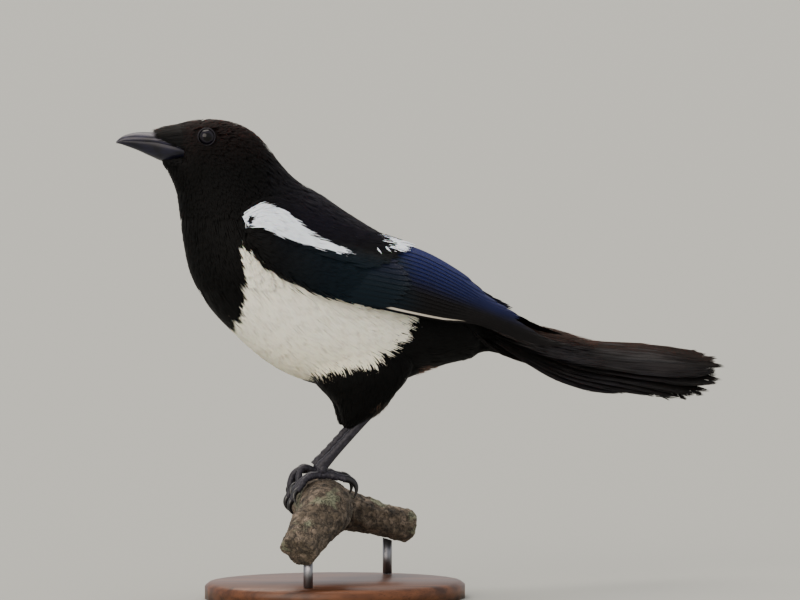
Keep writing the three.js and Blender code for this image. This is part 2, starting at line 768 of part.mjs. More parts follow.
// The toes and the joint that they share under the shank's end face.
function foot(name, side) {
  const { foot: heel, down, across, front } = shankFrame(side);
  const { swell, around } = JOINT;
  const base = onPerch((PERCH_AXIS.x - SHANK.x) / PERCH_R, side * FOOT_Y, TOE_BASE);
  const rings = JOINT.rings.map(([deep, wide], r) => {
    const middle = r === 0 ? heel.clone().addScaledVector(down, GAP) : base.clone();
    if (r === 1) middle.lerp(heel, JOINT.up);
    return Array.from({ length: around }, (_, k) => {
      const angle = (k / around) * 2 * Math.PI;
      return middle
        .clone()
        .addScaledVector(front, SHANK.deep * swell * deep * Math.cos(angle))
        .addScaledVector(across, SHANK.wide * swell * wide * Math.sin(angle));
    });
  });
  return fuse([loft(rings), ...TOES.map((toe) => toeTube(name, side, toe))]);
}

// A claw goes on from its toe's end face, bows over the bark and comes down to it.
function claw(side, toe) {
  const path = toePath(side, toe);
  const start = path(toe.length, toe.radius);
  const along = start.clone().sub(path(toe.length - 0.5, toe.radius)).normalize();
  const [points, radii] = [[], []];
  for (let j = 0; j <= CLAW.steps; j++) {
    const q = j / CLAW.steps;
    const bow = (toe.back ? CLAW.hook : CLAW.bow) * Math.sin(Math.PI * q);
    const point = path(toe.length + toe.claw * q, lerp(toe.radius, CLAW.end, q) + bow);
    points.push(point.addScaledVector(along, CLAW.gap));
    radii.push(lerp(toe.radius * CLAW.root, CLAW.tip, Math.pow(q, CLAW.taper)));
  }
  return tube(points, radii, CLAW.around);
}

// Perch and stand

function perch(out = 0) {
  const { along, around } = PERCH_STEPS;
  const rings = [];
  for (let r = 0; r <= along; r++) {
    const t = (r / along) * (PERCH.length - 1);
    const [x, y, z, radius] = rowAt(PERCH, t);
    const ahead = V(...rowAt(PERCH, Math.min(t + 0.1, PERCH.length - 1)));
    const tangent = ahead.sub(V(...rowAt(PERCH, Math.max(t - 0.1, 0)))).normalize();
    const across = V(0, 0, 0).crossVectors(tangent, V(0, 0, 1)).normalize();
    const up = V(0, 0, 0).crossVectors(across, tangent);
    const rough = THREE.MathUtils.smoothstep(Math.abs(y), ...SMOOTH);
    rings.push(
      Array.from({ length: around }, (_, k) => {
        const angle = (k / around) * 2 * Math.PI;
        const knobs = KNOBS.waves.reduce((sum, [n, twist]) => sum + Math.sin(n * angle + t * twist), 0);
        const reach = radius + out + KNOBS.height * rough * (knobs - KNOBS.low);
        return V(x, y, z)
          .addScaledVector(across, reach * Math.cos(angle))
          .addScaledVector(up, reach * Math.sin(angle));
      }),
    );
  }
  return loft(rings);
}

function standBase() {
  const { halfLength, halfWidth, height, bevel, around } = BASE;
  const profile = [
    [0, 0],
    [1, 0],
    [1, height - bevel],
    [1 - bevel / halfWidth, height],
    [0, height],
  ].map(([r, z]) => new THREE.Vector2(r, z));
  const turned = new THREE.LatheGeometry(profile, around);
  turned.rotateX(Math.PI / 2);
  turned.scale(halfLength, halfWidth, 1);
  return solidOf(turned);
}

// A rod from the base up to the perch's underside.
function standRod([x, y]) {
  const rod = new THREE.CylinderGeometry(ROD.radius, ROD.radius, ROD.length, ROD.around);
  rod.rotateX(Math.PI / 2);
  rod.translate(x, y, BASE.height + GAP + ROD.length / 2);
  const pieces = solidOf(rod).subtract(perch(ROUND_GAP)).decompose();
  return pieces.reduce((a, b) => (b.boundingBox().min[2] < a.boundingBox().min[2] ? b : a));
}

// Materials

const finish = (color, roughness) =>
  new THREE.MeshStandardMaterial({ color, roughness, metalness: 0, flatShading: true });
const BLACK_PLUMAGE = finish(0x15151a, 0.55);
const WING_PLUMAGE = finish(0x1b2746, 0.4);
const TAIL_PLUMAGE = finish(0x1a1720, 0.4);
const WHITE_PLUMAGE = finish(0xe6e2da, 0.8);
const HORN = finish(0x26262c, 0.35);
const EYE_BROWN = finish(0x17110d, 0.05);
const BARK = finish(0x5c4c42, 0.95);
const STAND_WOOD = finish(0x6b4a30, 0.5);
const STAND_METAL = finish(0x8a8a8c, 0.35);

const root = new THREE.Group();

function add(name, solid, material) {
  const made = solid.getMesh();
  const geometry = new THREE.BufferGeometry();
  geometry.setAttribute("position", new THREE.BufferAttribute(made.vertProperties, 3));
  geometry.setIndex(new THREE.BufferAttribute(made.triVerts, 1));
  const mesh = new THREE.Mesh(geometry, material);
  mesh.name = name;
  root.add(mesh);
}

const bodySpace = bodyLoft(NECK_FROM, TORSO_FROM, { out: ROUND_GAP }).add(
  bodyLoft(TORSO_FROM, TORSO_TO, { out: ROUND_GAP }),
);

function head() {
  const sides = Object.values(SIDES);
  const whole = fuse([
    bodyLoft(0, NECK_FROM, { inTo: GAP / 2 }),
    ...sides.map((side) => lidRing(side)),
    ...bristles(),
  ]);
  const cuts = sides.map((side) => {
    const socket = new THREE.SphereGeometry(EYE.radius + ROUND_GAP, ...EYE.facets);
    return solidOf(socket.translate(...eyeCentre(side).toArray()));
  });
  for (const upper of [true, false]) cuts.push(billLoft(upper, BILL_GAP, -BILL_GAP));
  return largest(whole.subtract(wasm.Manifold.union(cuts)).simplify(TRIM));
}

function eye(side) {
  const ball = new THREE.SphereGeometry(EYE.radius, ...EYE.facets);
  return solidOf(ball.translate(...eyeCentre(side).toArray()));
}

add("head", head(), BLACK_PLUMAGE);
add("bill_upper", billLoft(true), HORN);
add("bill_lower", billLoft(false), HORN);
add("neck", bodyLoft(NECK_FROM, TORSO_FROM, { inFrom: GAP / 2, inTo: GAP / 2 }), BLACK_PLUMAGE);
add("torso", bodyLoft(TORSO_FROM, TORSO_TO, { inFrom: GAP / 2 }), WHITE_PLUMAGE);
add("tail", tail(), TAIL_PLUMAGE);

for (const [name, side] of Object.entries(SIDES)) {
  add("eye_" + name, eye(side), EYE_BROWN);
  add("wing_" + name, wing(side), WING_PLUMAGE);
  const feathered = thigh(side).subtract(bodySpace).subtract(shank(side, ROUND_GAP));
  add("thigh_" + name, largest(feathered), BLACK_PLUMAGE);
  add("shank_" + name, shank(side), HORN);
  add("foot_" + name, foot(name, side), HORN);
  for (const toe of TOES) add("claw_" + name + "_" + toe.name, claw(side, toe), HORN);
}
add("perch", perch(), BARK);
add("stand_base", standBase(), STAND_WOOD);
ROD.at.forEach((at, i) => add("stand_rod_" + (i + 1), standRod(at), STAND_METAL));

export default root;
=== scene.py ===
# A Eurasian magpie, life size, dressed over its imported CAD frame.
# Tables are in millimetres in the frame's own axes: head along -X, the bird's left along -Y, +Z up.
import math

import bmesh
import bpy
import numpy as np
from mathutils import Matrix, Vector
from mathutils.bvhtree import BVHTree
from mathutils.kdtree import KDTree


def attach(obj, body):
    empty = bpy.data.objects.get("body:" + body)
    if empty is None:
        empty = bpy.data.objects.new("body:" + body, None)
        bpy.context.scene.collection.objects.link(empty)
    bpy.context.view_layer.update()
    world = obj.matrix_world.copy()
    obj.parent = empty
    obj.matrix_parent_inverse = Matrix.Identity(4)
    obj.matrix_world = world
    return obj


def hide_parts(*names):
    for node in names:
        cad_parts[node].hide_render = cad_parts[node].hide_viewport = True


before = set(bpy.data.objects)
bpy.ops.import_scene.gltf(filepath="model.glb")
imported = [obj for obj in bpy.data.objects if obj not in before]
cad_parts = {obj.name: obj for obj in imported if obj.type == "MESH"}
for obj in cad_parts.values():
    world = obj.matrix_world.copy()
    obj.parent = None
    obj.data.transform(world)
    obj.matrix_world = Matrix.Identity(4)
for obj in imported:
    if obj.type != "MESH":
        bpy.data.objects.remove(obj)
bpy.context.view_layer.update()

mm = 0.001
sides = {"l": -1, "r": 1}
scene = bpy.context.scene

# Camera, floor and light

view = {"target": (35.9, 0, 163.9), "azimuth": -6, "elevation": 3, "distance": 3667, "lens": 300}
studio = {
    "floor": "#959792",
    "floorReach": 200,  # metres
    "sky": "#f1f1f3",
    "skyStrength": 0.95,
    # name, direction it comes from, angle it spans in degrees, strength, colour
    "suns": [
        ("top_softbox", (-0.15, 0.3, 1.0), 55, 3.7, "#fff4e8"),
        ("front_softbox", (-0.75, -1.0, 0.42), 50, 2.7, "#fff2e4"),
    ],
}


def toLinear(code):
    parts = [int(code[i : i + 2], 16) / 255 for i in (1, 3, 5)]
    return tuple(c / 12.92 if c <= 0.04045 else ((c + 0.055) / 1.055) ** 2.4 for c in parts) + (1.0,)


def rgb(code):
    return np.array(toLinear(code)[:3])


def addNode(tree, kind, inputs=None, **settings):
    # an input is a value or what another node gives; a node stands for its first output
    node = tree.nodes.new(kind)
    for name, value in settings.items():
        setattr(node, name, value)
    for socket, value in (inputs or {}).items():
        if isinstance(value, bpy.types.Node):
            value = value.outputs[0]
        if isinstance(value, bpy.types.NodeSocket):
            tree.links.new(value, node.inputs[socket])
        else:
            node.inputs[socket].default_value = value
    return node


def placeCamera():
    azimuth, elevation = math.radians(view["azimuth"]), math.radians(view["elevation"])
    back = Vector(
        (
            math.sin(azimuth) * math.cos(elevation),
            -math.cos(azimuth) * math.cos(elevation),
            math.sin(elevation),
        )
    )
    data = bpy.data.cameras.new("camera")
    data.lens = view["lens"]
    data.clip_end = 50
    camera = bpy.data.objects.new("camera", data)
    camera.location = (Vector(view["target"]) + back * view["distance"]) * mm
    camera.rotation_mode = "QUATERNION"
    camera.rotation_quaternion = (-back).to_track_quat("-Z", "Y")
    scene.collection.objects.link(camera)
    scene.camera = camera


def buildStudio():
    ground = bpy.data.meshes.new("floor")
    reach = studio["floorReach"]
    corners = [(-reach, -reach, 0), (reach, -reach, 0), (reach, reach, 0), (-reach, reach, 0)]
    ground.from_pydata(corners, [], [(0, 1, 2, 3)])
    floor = bpy.data.objects.new("floor", ground)
    scene.collection.objects.link(floor)
    paper = bpy.data.materials.new("matte_paper_sweep")
    paper.use_nodes = True
    shader = paper.node_tree.nodes["Principled BSDF"]
    shader.inputs["Base Color"].default_value = toLinear(studio["floor"])
    shader.inputs["Roughness"].default_value = 0.9
    ground.materials.append(paper)
    for name, source, angle, strength, colour in studio["suns"]:
        data = bpy.data.lights.new(name, "SUN")
        data.angle = math.radians(angle)
        data.energy = strength
        data.color = toLinear(colour)[:3]
        lamp = bpy.data.objects.new(name, data)
        lamp.rotation_mode = "QUATERNION"
        lamp.rotation_quaternion = (-Vector(source)).to_track_quat("-Z", "Y")
        scene.collection.objects.link(lamp)
    world = bpy.data.worlds.new("studio")
    world.use_nodes = True
    sky = world.node_tree.nodes["Background"]
    sky.inputs["Color"].default_value = toLinear(studio["sky"])
    sky.inputs["Strength"].default_value = studio["skyStrength"]
    scene.world = world


placeCamera()
buildStudio()
print("camera, floor and light set")

# Shapes that the coat, the wings and the tail follow

# ribs of head, neck and torso: crown x, crown z, belly x, belly z, half width, sway
bodyRibs = np.array(
    [
        [-98.4, 256.1, -97.3, 241.7, 5.4, 0],
        [-92.4, 258.8, -94.0, 237.9, 8.0, 0],
        [-84.6, 261.8, -90.7, 232.7, 11.2, 0],
        [-76.3, 263.3, -87.9, 226.1, 14.4, 0],
        [-66.9, 263.6, -86.3, 219.5, 16.2, 0],
        [-57.0, 262.2, -85.4, 212.3, 17.2, 0],
        [-47.0, 258.0, -84.3, 203.5, 18.8, 0],
        [-38.2, 250.0, -82.7, 192.5, 21.2, 0],
        [-30.4, 239.3, -79.9, 180.4, 24.5, 0],
        [-20.5, 229.4, -74.9, 169.4, 28.5, 0],
        [-7.2, 221.6, -66.9, 157.9, 31.2, 0],
        [8.3, 211.0, -54.7, 145.2, 32.5, 0],
        [25.0, 200.8, -38.2, 130.9, 32.5, 0],
        [40.0, 192.0, -19.4, 121.0, 30.5, 0],
        [52.5, 181.5, 5.5, 115.2, 26, 0],
        [63.0, 170.8, 33.0, 118.8, 20, 1],
        [72.5, 161.5, 57.0, 127.5, 14, 3.5],
        [82.5, 154.6, 77.0, 131.2, 9.5, 8],
    ]
)
egg = 0.12
# feathered thigh: centre x, centre y, z, half length along x, half width
thighRibs = np.array(
    [
        [18, 10, 151, 12, 7],
        [17, 13, 141, 22, 12],
        [15, 14.5, 131, 27, 12.4],
        [13, 15, 121, 25, 11.6],
        [13, 14.6, 113.5, 18.6, 9.8],
        [13.6, 14.2, 107.5, 13.8, 7.8],
        [12, 13.8, 102.5, 10.6, 5.8],
        [8, 13.4, 98, 5.8, 3.6],
        [4.8, 13.2, 94.3, 0.9, 0.8],
    ]
)
# folded wing as a sheet: upper edge x, y, z, lower edge x, y, z, bulge between them
wingRibs = np.array(
    [
        [-52.5, 21, 211.8, -52.5, 24, 196.0, 1.5],
        [-37.1, 18, 218.4, -40.4, 30, 183.7, 4],
        [-16.6, 19, 209.6, -24.9, 34, 174.4, 6],
        [5.5, 16, 200.5, -5.5, 35.5, 167.8, 7.5],
        [28.0, 9, 195.0, 13.8, 35, 163.4, 9],
        [48.0, 5, 189.0, 34.3, 32.5, 158.4, 8.5],
        [67.4, 4, 178.0, 53.6, 28.5, 154.6, 7],
        [85.7, 4, 164.6, 73.5, 24, 151.2, 4],
        [104, 7, 157.4, 94.5, 19, 143.5, 1.5],
        [119, 9, 149.0, 113.5, 15, 137.8, 0.5],
        [133, 10, 144.6, 129.5, 13, 136.4, 0],
    ]
)
rightTip = np.array(
    [
        [67.4, 4, 178.0, 53.6, 29.5, 155.6, 7],
        [86.2, 6, 165.9, 74.5, 29, 153.4, 4],
        [104, 12, 159.6, 95.5, 31, 147.5, 1.5],
        [119, 16, 152.0, 113.5, 27, 142.8, 0.5],
        [133, 19, 147.4, 129.5, 22, 140.0, 0],
    ]
)
wingClear = 2
arm = {"to": 4.4, "thick": 5.2, "edge": 1.2, "deep": 6, "thinFrom": 2.3, "thin": 0.3}
# tail: middle line as distance from the pivot, height, roll in degrees, drop 20 mm out from the middle
tailLine = np.array(
    [
        [0, 158.5, 0, 2],
        [22, 149.5, 9, 6],
        [42, 142.0, 20, 6],
        [62, 135.6, 30, 4],
        [83, 130.6, 35, 1.5],
        [112, 127.2, 37, 0.8],
        [138, 124.9, 38, 2],
        [161, 123.0, 39, 3],
        [190, 121.8, 40, 3.5],
    ]
)
tailSet = {"pivot": (60.8, 0), "swing": math.radians(27)}
eyes = {"x": -71.2, "z": 254.2, "y": 9.6, "radius": 5.4}
# bill from the tip back: x, culmen, cutting edge, underside, half width
billRows = np.array(
    [
        [-120.2, 251.6, 250.9, 250.6, 0.4],
        [-118.0, 253.6, 251.5, 250.2, 1.4],
        [-114.5, 255.4, 251.9, 249.0, 2.7],
        [-108.4, 256.6, 251.9, 246.7, 4.2],
        [-100.6, 256.6, 251.5, 243.1, 6.0],
        [-94.6, 256.6, 250.5, 240.7, 8.0],
        [-87.4, 257.0, 248.7, 240.6, 9.9],
        [-80.0, 256.5, 246.6, 241.5, 10.6],
    ]
)
# half its section: share of the half width, share of the way from the mouth to the culmen or the underside
billHalf = [[0.97, 0], [1, 0.25], [0.86, 0.58], [0.5, 0.88], [0, 1]]
billSection = np.array(billHalf + [[-w, h] for w, h in billHalf[-2::-1]])


def smoothStep(low, high, x):
    q = np.clip((np.asarray(x, float) - low) / (high - low), 0, 1)
    return q * q * (3 - 2 * q)


def mix(a, b, q):
    return a + (b - a) * q


def rowAt(rows, t):
    t = np.asarray(t, float)
    last = len(rows) - 1
    i = np.clip(np.floor(t).astype(int), 0, last - 1)
    f = (t - i)[..., None]
    a, b, d, e = (rows[np.clip(i + k, 0, last)] for k in (-1, 0, 1, 2))
    return b + 0.5 * f * (d - a + f * (2 * a - 5 * b + 4 * d - e + f * (3 * (b - d) + e - a)))


def crossed(a, b):
    return np.meshgrid(a, b, indexing="ij")


def turnAngles(count):
    return np.linspace(0, 2 * np.pi, count, endpoint=False)


def onSide(point, side):
    return np.array(point) * [1, side, 1]


def unit(v):
    return v / np.maximum(np.linalg.norm(v, axis=-1, keepdims=True), 1e-9)


def bodyPoint(t, angle):
    tx, tz, lx, lz, half, sway = np.moveaxis(rowAt(bodyRibs, t), -1, 0)
    c, s = np.cos(angle), np.sin(angle)
    x = (tx + lx) / 2 + c * (tx - lx) / 2
    z = (tz + lz) / 2 + c * (tz - lz) / 2
    return np.stack([x, sway + s * half * (1 - egg * c), z], -1)


def thighPoint(side, t, angle):
    x, y, z, rx, ry = np.moveaxis(rowAt(thighRibs, t), -1, 0)
    return np.stack([x + rx * np.cos(angle), side * y + ry * np.sin(angle), z + 0 * angle], -1)


def torsoReach(x, z, side):
    # how far the torso reaches out on one side at a place seen from the side
    def across(t):
        tx, tz, lx, lz = np.moveaxis(rowAt(bodyRibs, t)[..., :4], -1, 0)
        return (lx - tx) * (z - tz) - (lz - tz) * (x - tx)

    low, high = np.full(x.shape, 6.0), np.full(x.shape, 17.0)
    atLow = across(low) > 0
    outside = (across(high) > 0) == atLow
    for _ in range(26):
        middle = (low + high) / 2
        same = (across(middle) > 0) == atLow
        low, high = np.where(same, middle, low), np.where(same, high, middle)
    tx, tz, lx, lz, half, sway = np.moveaxis(rowAt(bodyRibs, low), -1, 0)
    share = ((x - tx) * (lx - tx) + (z - tz) * (lz - tz)) / ((lx - tx) ** 2 + (lz - tz) ** 2)
    c = 1 - 2 * share
    reach = half * np.sqrt(np.clip(1 - c * c, 0, 1)) * (1 - egg * c) + side * sway
    return np.where(outside | (np.abs(c) >= 1), 0, reach)


class Sheet:
    # A wing's sheet, worked out once on a grid and read between its points.
    def __init__(self, side):
        rows = wingRibs if side < 0 else np.vstack([wingRibs[: -len(rightTip)], rightTip])
        self.rowStep, self.vStep = 0.1, 0.04
        row, v = crossed(np.arange(0, 10.05, self.rowStep), np.arange(0, 1.01, self.vStep))
        tx, ty, tz, lx, ly, lz, bulge = np.moveaxis(rowAt(rows, row), -1, 0)
        x, z = mix(tx, lx, v), mix(tz, lz, v)
        y = mix(ty, ly, v) + 4 * bulge * v * (1 - v)
        y = np.maximum(y, torsoReach(x, z, side) + wingClear)
        self.points = np.stack([x, side * y, z], -1)
        normal = unit(np.cross(np.gradient(self.points, axis=1), np.gradient(self.points, axis=0)))
        self.normals = np.where(normal[..., 1:2] * side < 0, -normal, normal)

    def __call__(self, row, v, out):
        row, v, out = np.broadcast_arrays(np.asarray(row, float), v, out)
        r = np.clip(row / self.rowStep, 0, self.points.shape[0] - 1.001)
        c = np.clip(v / self.vStep, 0, self.points.shape[1] - 1.001)
        i, j = r.astype(int), c.astype(int)
        f, g = (r - i)[..., None], (c - j)[..., None]

        def read(grid):
            return mix(mix(grid[i, j], grid[i + 1, j], f), mix(grid[i, j + 1], grid[i + 1, j + 1], f), g)

        return read(self.points) + out[..., None] * read(self.normals)


wingSheets = {name: Sheet(side) for name, side in sides.items()}


def armForm(row, v):
    # round at the arm's front end, and across it
    return np.sqrt(np.minimum(1, 0.12 + 3 * row / arm["to"])), np.sin(np.pi * mix(0.04, 0.93, v)) ** 0.4


def armOut(row, v):
    front, across = armForm(row, v)
    thinning = mix(1, arm["thin"], smoothStep(arm["thinFrom"], arm["to"], row))
    return arm["edge"] + arm["thick"] * front * thinning * across


def tailPoint(along, across, out):
    along, across, out = np.broadcast_arrays(np.asarray(along, float), across, out)
    place = np.interp(along, tailLine[:, 0], np.arange(len(tailLine)))
    _, height, roll, hump = np.moveaxis(rowAt(tailLine, place), -1, 0)
    lean = np.radians(roll)
    swing = tailSet["swing"]
    back = np.array([math.cos(swing), math.sin(swing), 0])
    left = np.array([back[1], -back[0], 0])
    down = np.array([0, 0, 1.0])
    side = left * np.cos(lean)[..., None] - down * np.sin(lean)[..., None]
    up = down * np.cos(lean)[..., None] + left * np.sin(lean)[..., None]
    middle = np.array([*tailSet["pivot"], 0]) + back * along[..., None] + down * height[..., None]
    return middle + side * across[..., None] + up * (out - hump * (across / 20) ** 2)[..., None]


# fleshy root of the tail: distance from the pivot, half width, half height, drop below the sheet
tailRootRibs = np.array(
    [
        [24, 9.6, 9.6, -3],
        [33, 9.8, 8.4, -2.6],
        [43, 9.6, 6.2, -2.2],
        [52, 8, 3.9, -1.6],
        [56, 4, 2, -1.2],
    ]
)


def tailRootPoint(t, angle):
    along, wide, tall, drop = np.moveaxis(rowAt(tailRootRibs, t), -1, 0)
    return tailPoint(along, -wide * np.sin(angle), drop + tall * np.cos(angle))


lastBody, lastThigh, lastTailRoot = (len(ribs) - 1 for ribs in (bodyRibs, thighRibs, tailRootRibs))

# Meshes


def treeOf(points):
    tree = KDTree(len(points))
    for index, point in enumerate(points):
        tree.insert(point, index)
    tree.balance()
    return tree


def addPiece(name, mesh, material, stands=()):
    mesh.polygons.foreach_set("use_smooth", np.ones(len(mesh.polygons), bool))
    mesh.materials.append(material)
    piece = bpy.data.objects.new(name, mesh)
    scene.collection.objects.link(piece)
    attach(piece, "root")
    if stands:
        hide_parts(*stands)
    return piece


def makePiece(name, points, faces, material, uvs=None, values=None, stands=(), normals=None):
    # points in mm, faces as an array of triangles or quads, uvs and colour values for each point
    mesh = bpy.data.meshes.new(name)
    count, corners = faces.shape
    mesh.vertices.add(len(points))
    mesh.vertices.foreach_set("co", (np.asarray(points) * mm).astype(np.float32).ravel())
    mesh.loops.add(count * corners)
    mesh.loops.foreach_set("vertex_index", faces.astype(np.int32).ravel())
    mesh.polygons.add(count)
    mesh.polygons.foreach_set("loop_start", (np.arange(count) * corners).astype(np.int32))
    for mapName, uv in (uvs or {}).items():
        layer = mesh.uv_layers.new(name=mapName)
        layer.data.foreach_set("uv", uv[faces.ravel()].astype(np.float32).ravel())
    for valueName, value in (values or {}).items():
        layer = mesh.attributes.new(valueName, "FLOAT_COLOR", "POINT")
        rgba = np.ones((len(points), 4), np.float32)
        rgba[:, :3] = value
        layer.data.foreach_set("color", rgba.ravel())
    mesh.polygons.foreach_set("use_smooth", np.ones(count, bool))
    mesh.update(calc_edges=True)
    mesh.validate()
    if normals is not None:
        mesh.normals_split_custom_set_from_vertices(normals.astype(np.float32).tolist())
    return addPiece(name, mesh, material, stands)


def loftFaces(rings, around, closed=False):
    # quads between rings of points, all wound the same way; closed joins the last ring to the first
    ring, place = crossed(np.arange(rings if closed else rings - 1), np.arange(around))
    ahead, beside = (ring + 1) % rings * around, (place + 1) % around
    behind = ring * around
    return np.stack([behind + place, behind + beside, ahead + beside, ahead + place], -1).reshape(-1, 4)


def closedLoft(grid):
    # a closed mesh through a grid of rings (rings, around, 3), with a fan at both ends
    rings, around = grid.shape[:2]
    bm = bmesh.new()
    vertices = [bm.verts.new(p * mm) for p in grid.reshape(-1, 3)]
    for face in loftFaces(rings, around):
        bm.faces.new([vertices[i] for i in face])
    bm.faces.new(vertices[:around][::-1])
    bm.faces.new(vertices[-around:])
    bmesh.ops.recalc_face_normals(bm, faces=bm.faces)
    mesh = bpy.data.meshes.new("loft")
    bm.to_mesh(mesh)
    bm.free()
    return mesh


def joinedLofts(name, grids):
    bm = bmesh.new()
    for grid in grids:
        bm.from_mesh(closedLoft(grid))
    mesh = bpy.data.meshes.new(name)
    bm.to_mesh(mesh)
    bm.free()
    return mesh


def loftPiece(name, grids, material, stands):
    addPiece(name, joinedLofts(name, grids), material, stands)


# Materials for plumage


def newMaterial(name):
    material = bpy.data.materials.new(name)
    material.use_nodes = True
    return material, material.node_tree, material.node_tree.nodes["Principled BSDF"]


def multiply(tree, a, b):
    node = addNode(tree, "ShaderNodeMix", {0: 1.0, 6: a, 7: b}, data_type="RGBA", blend_type="MULTIPLY")
    return node.outputs[2]


def addRamp(tree, source, stops):
    ramp = addNode(tree, "ShaderNodeValToRGB", {0: source})
    places = ramp.color_ramp.elements
    for index, (position, code) in enumerate(stops):
        stop = places[index] if index < 2 else places.new(position)
        stop.position, stop.color = position, toLinear(code)
    return ramp


def addBump(tree, shader, height, strength, distance):
    # distance in mm
    values = {"Strength": strength, "Distance": distance * mm, "Height": height}
    tree.links.new(addNode(tree, "ShaderNodeBump", values).outputs[0], shader.inputs["Normal"])


def setSurface(tree, shader, colour, roughness, specular=0.5):
    tree.links.new(colour, shader.inputs["Base Color"])
    shader.inputs["Roughness"].default_value = roughness
    shader.inputs["Specular IOR Level"].default_value = specular


plumage = {
    "black": "#030303",
    "crownSheen": "#120a09",
    "crownGlint": "#201211",
    "purpleBlack": "#090712",
    "white": "#fff2e0",
    "coolWhite": "#f6f5fd",
    "covertTeal": "#06121a",
    "cream": "#f9e9cb",
    "downGrey": "#4f4a45",
}
ink = {key: rgb(code) for key, code in plumage.items()}


def contourPlumage():
    # Keratin barbs, soft and matt: each lock keeps its own tone, and painted shade makes it darker towards
    # the root, where other locks lie over it.
    material, tree, shader = newMaterial("contour_plumage_keratin")
    colour = addNode(tree, "ShaderNodeAttribute", attribute_name="plumage")
    shade = addNode(tree, "ShaderNodeAttribute", attribute_name="shade")
    setSurface(tree, shader, multiply(tree, colour, shade), 0.62, 0.08)
    shader.inputs["Sheen Weight"].default_value = 0.03
    shader.inputs["Subsurface Weight"].default_value = 0.25
    shader.inputs["Subsurface Scale"].default_value = 1 * mm
    return material


plumageMaterial = contourPlumage()

# Markings, as outlines seen from the side (x, z), and the fades between the dark colours

markings = {
    "belly": [
        (-50.2, 190), (-47.2, 172), (-48, 160), (-52.5, 150), (-60, 140), (-22, 108), (-16, 119.5),
        (-2.8, 121.5), (23, 126), (38.5, 140), (47.5, 154), (49, 168), (20, 190), (-35, 189), (-46, 191),
    ],
    "scapulars": [
        (-51.8, 212.6), (-44.8, 216.6), (-36.7, 217.5), (-29.9, 214.5), (-26, 213.4), (-18.8, 207.4),
        (-12.2, 201.9), (-3.9, 196.4), (5.5, 192.8), (10.5, 189.2), (5.5, 189.2), (-6.1, 191.6),
        (-13.3, 193.6), (-22.7, 196.6), (-29.9, 199.1), (-38.2, 204.5), (-43.4, 210.6),
    ],
    # the pale rump where it shows between the mantle's tips and the wing
    "rumpSide": [
        (28.4, 201), (36.4, 198), (46.8, 192.6), (44, 190.2), (37.6, 189.8), (34.6, 193.2), (31.4, 196.4),
    ],
    # two small white tips before it: x and z of the start and of the end
    "spots": [((23.4, 193.6), (26.2, 189.2)), ((28.4, 193.2), (31.2, 190.2))],
    "rump": {"from": 32, "to": 47, "above": 180, "half": 14},  # the pale band across the back
    "ragged": (0.5, 0.3),  # how far the borders stray along x and z
}
# x or z where a colour begins and where it is full
fades = {
    "raggedRear": (15, 30),
    "crownSheenHeight": (232, 262),
    "crownSheenFront": (-88, -78),
    "mantleLength": (-45, -5),
    "mantleHeight": (185, 205),
    "bellyCream": (150, 120),
    "tealLength": (-45, 15),
    "tealHeight": (198, 188),
}


def insideOutline(outline, x, z):
    found = np.zeros(x.shape, bool)
    for (ax, az), (bx, bz) in zip(outline, outline[1:] + outline[:1]):
        crosses = (az > z) != (bz > z)
        slope = (bx - ax) / (bz - az if bz != az else 1e-9)
        found ^= crosses & (x < ax + slope * (z - az))
    return found


def inPicture(points):
    # where a point falls in the camera's picture, as x and z in the middle plane
    x, y, z = points.T
    aside, down = math.sin(math.radians(-view["azimuth"])), math.sin(math.radians(view["elevation"]))
    return x - aside * y, z + down * y


def seenFromSide(points):
    # the same with the far flank folded over onto the near one
    x, y, z = points.T
    return inPicture(np.stack([x, -np.abs(y), z], -1))


def plumageColour(points, onWing, rng):
    x, z = seenFromSide(points)
    count = len(points)

    def fade(name, place):
        return smoothStep(*fades[name], place)

    # the borders are ragged, and more so at the rear
    strayX, strayZ = markings["ragged"]
    jx = x + rng.normal(0, strayX, count) * (1 + 2.5 * fade("raggedRear", x))
    jz = z + rng.normal(0, strayZ, count)
    result = np.tile(ink["black"], (count, 1))
    # painted sheen: the top of the head is painted a lighter warm black, more so higher up, standing in for
    # the light that falls on it
    crown = fade("crownSheenHeight", z) * fade("crownSheenFront", x) * (x < -20)
    result = mix(result, ink["crownSheen"], crown[:, None])
    # painted glints: some locks where the painted sheen is strongest are painted lighter brown
    glints = (crown > 0.8) & (rng.random(count) < 0.12)
    result = np.where(glints[:, None], ink["crownGlint"], result)
    mantle = fade("mantleLength", x) * fade("mantleHeight", z)
    result = mix(result, ink["purpleBlack"], mantle[:, None])
    belly = insideOutline(markings["belly"], jx, jz) & ~onWing
    warm = fade("bellyCream", z)[:, None]
    result = np.where(belly[:, None], mix(ink["white"], ink["cream"], 0.25 + 0.6 * warm), result)
    teal = fade("tealLength", x) * fade("tealHeight", z + 0.25 * x) * onWing
    result = mix(result, ink["covertTeal"], teal[:, None])
    pale = insideOutline(markings["scapulars"], jx, jz) | insideOutline(markings["rumpSide"], jx, jz)
    result = np.where((pale & onWing)[:, None], ink["coolWhite"], result)
    band = markings["rump"]
    rump = (jx > band["from"]) & (jx < band["to"]) & (z > band["above"])
    rump &= (np.abs(points[:, 1]) < band["half"]) & ~onWing
    return np.where(rump[:, None], ink["white"], result)


# Skin: body, thighs and shoulders as one closed form

skinForm = {"voxel": 1.5, "smooth": 6, "depth": 2.0, "faceDepth": 0.8}
eyePlaces = np.array([[eyes["x"], side * eyes["y"], eyes["z"]] for side in sides.values()])


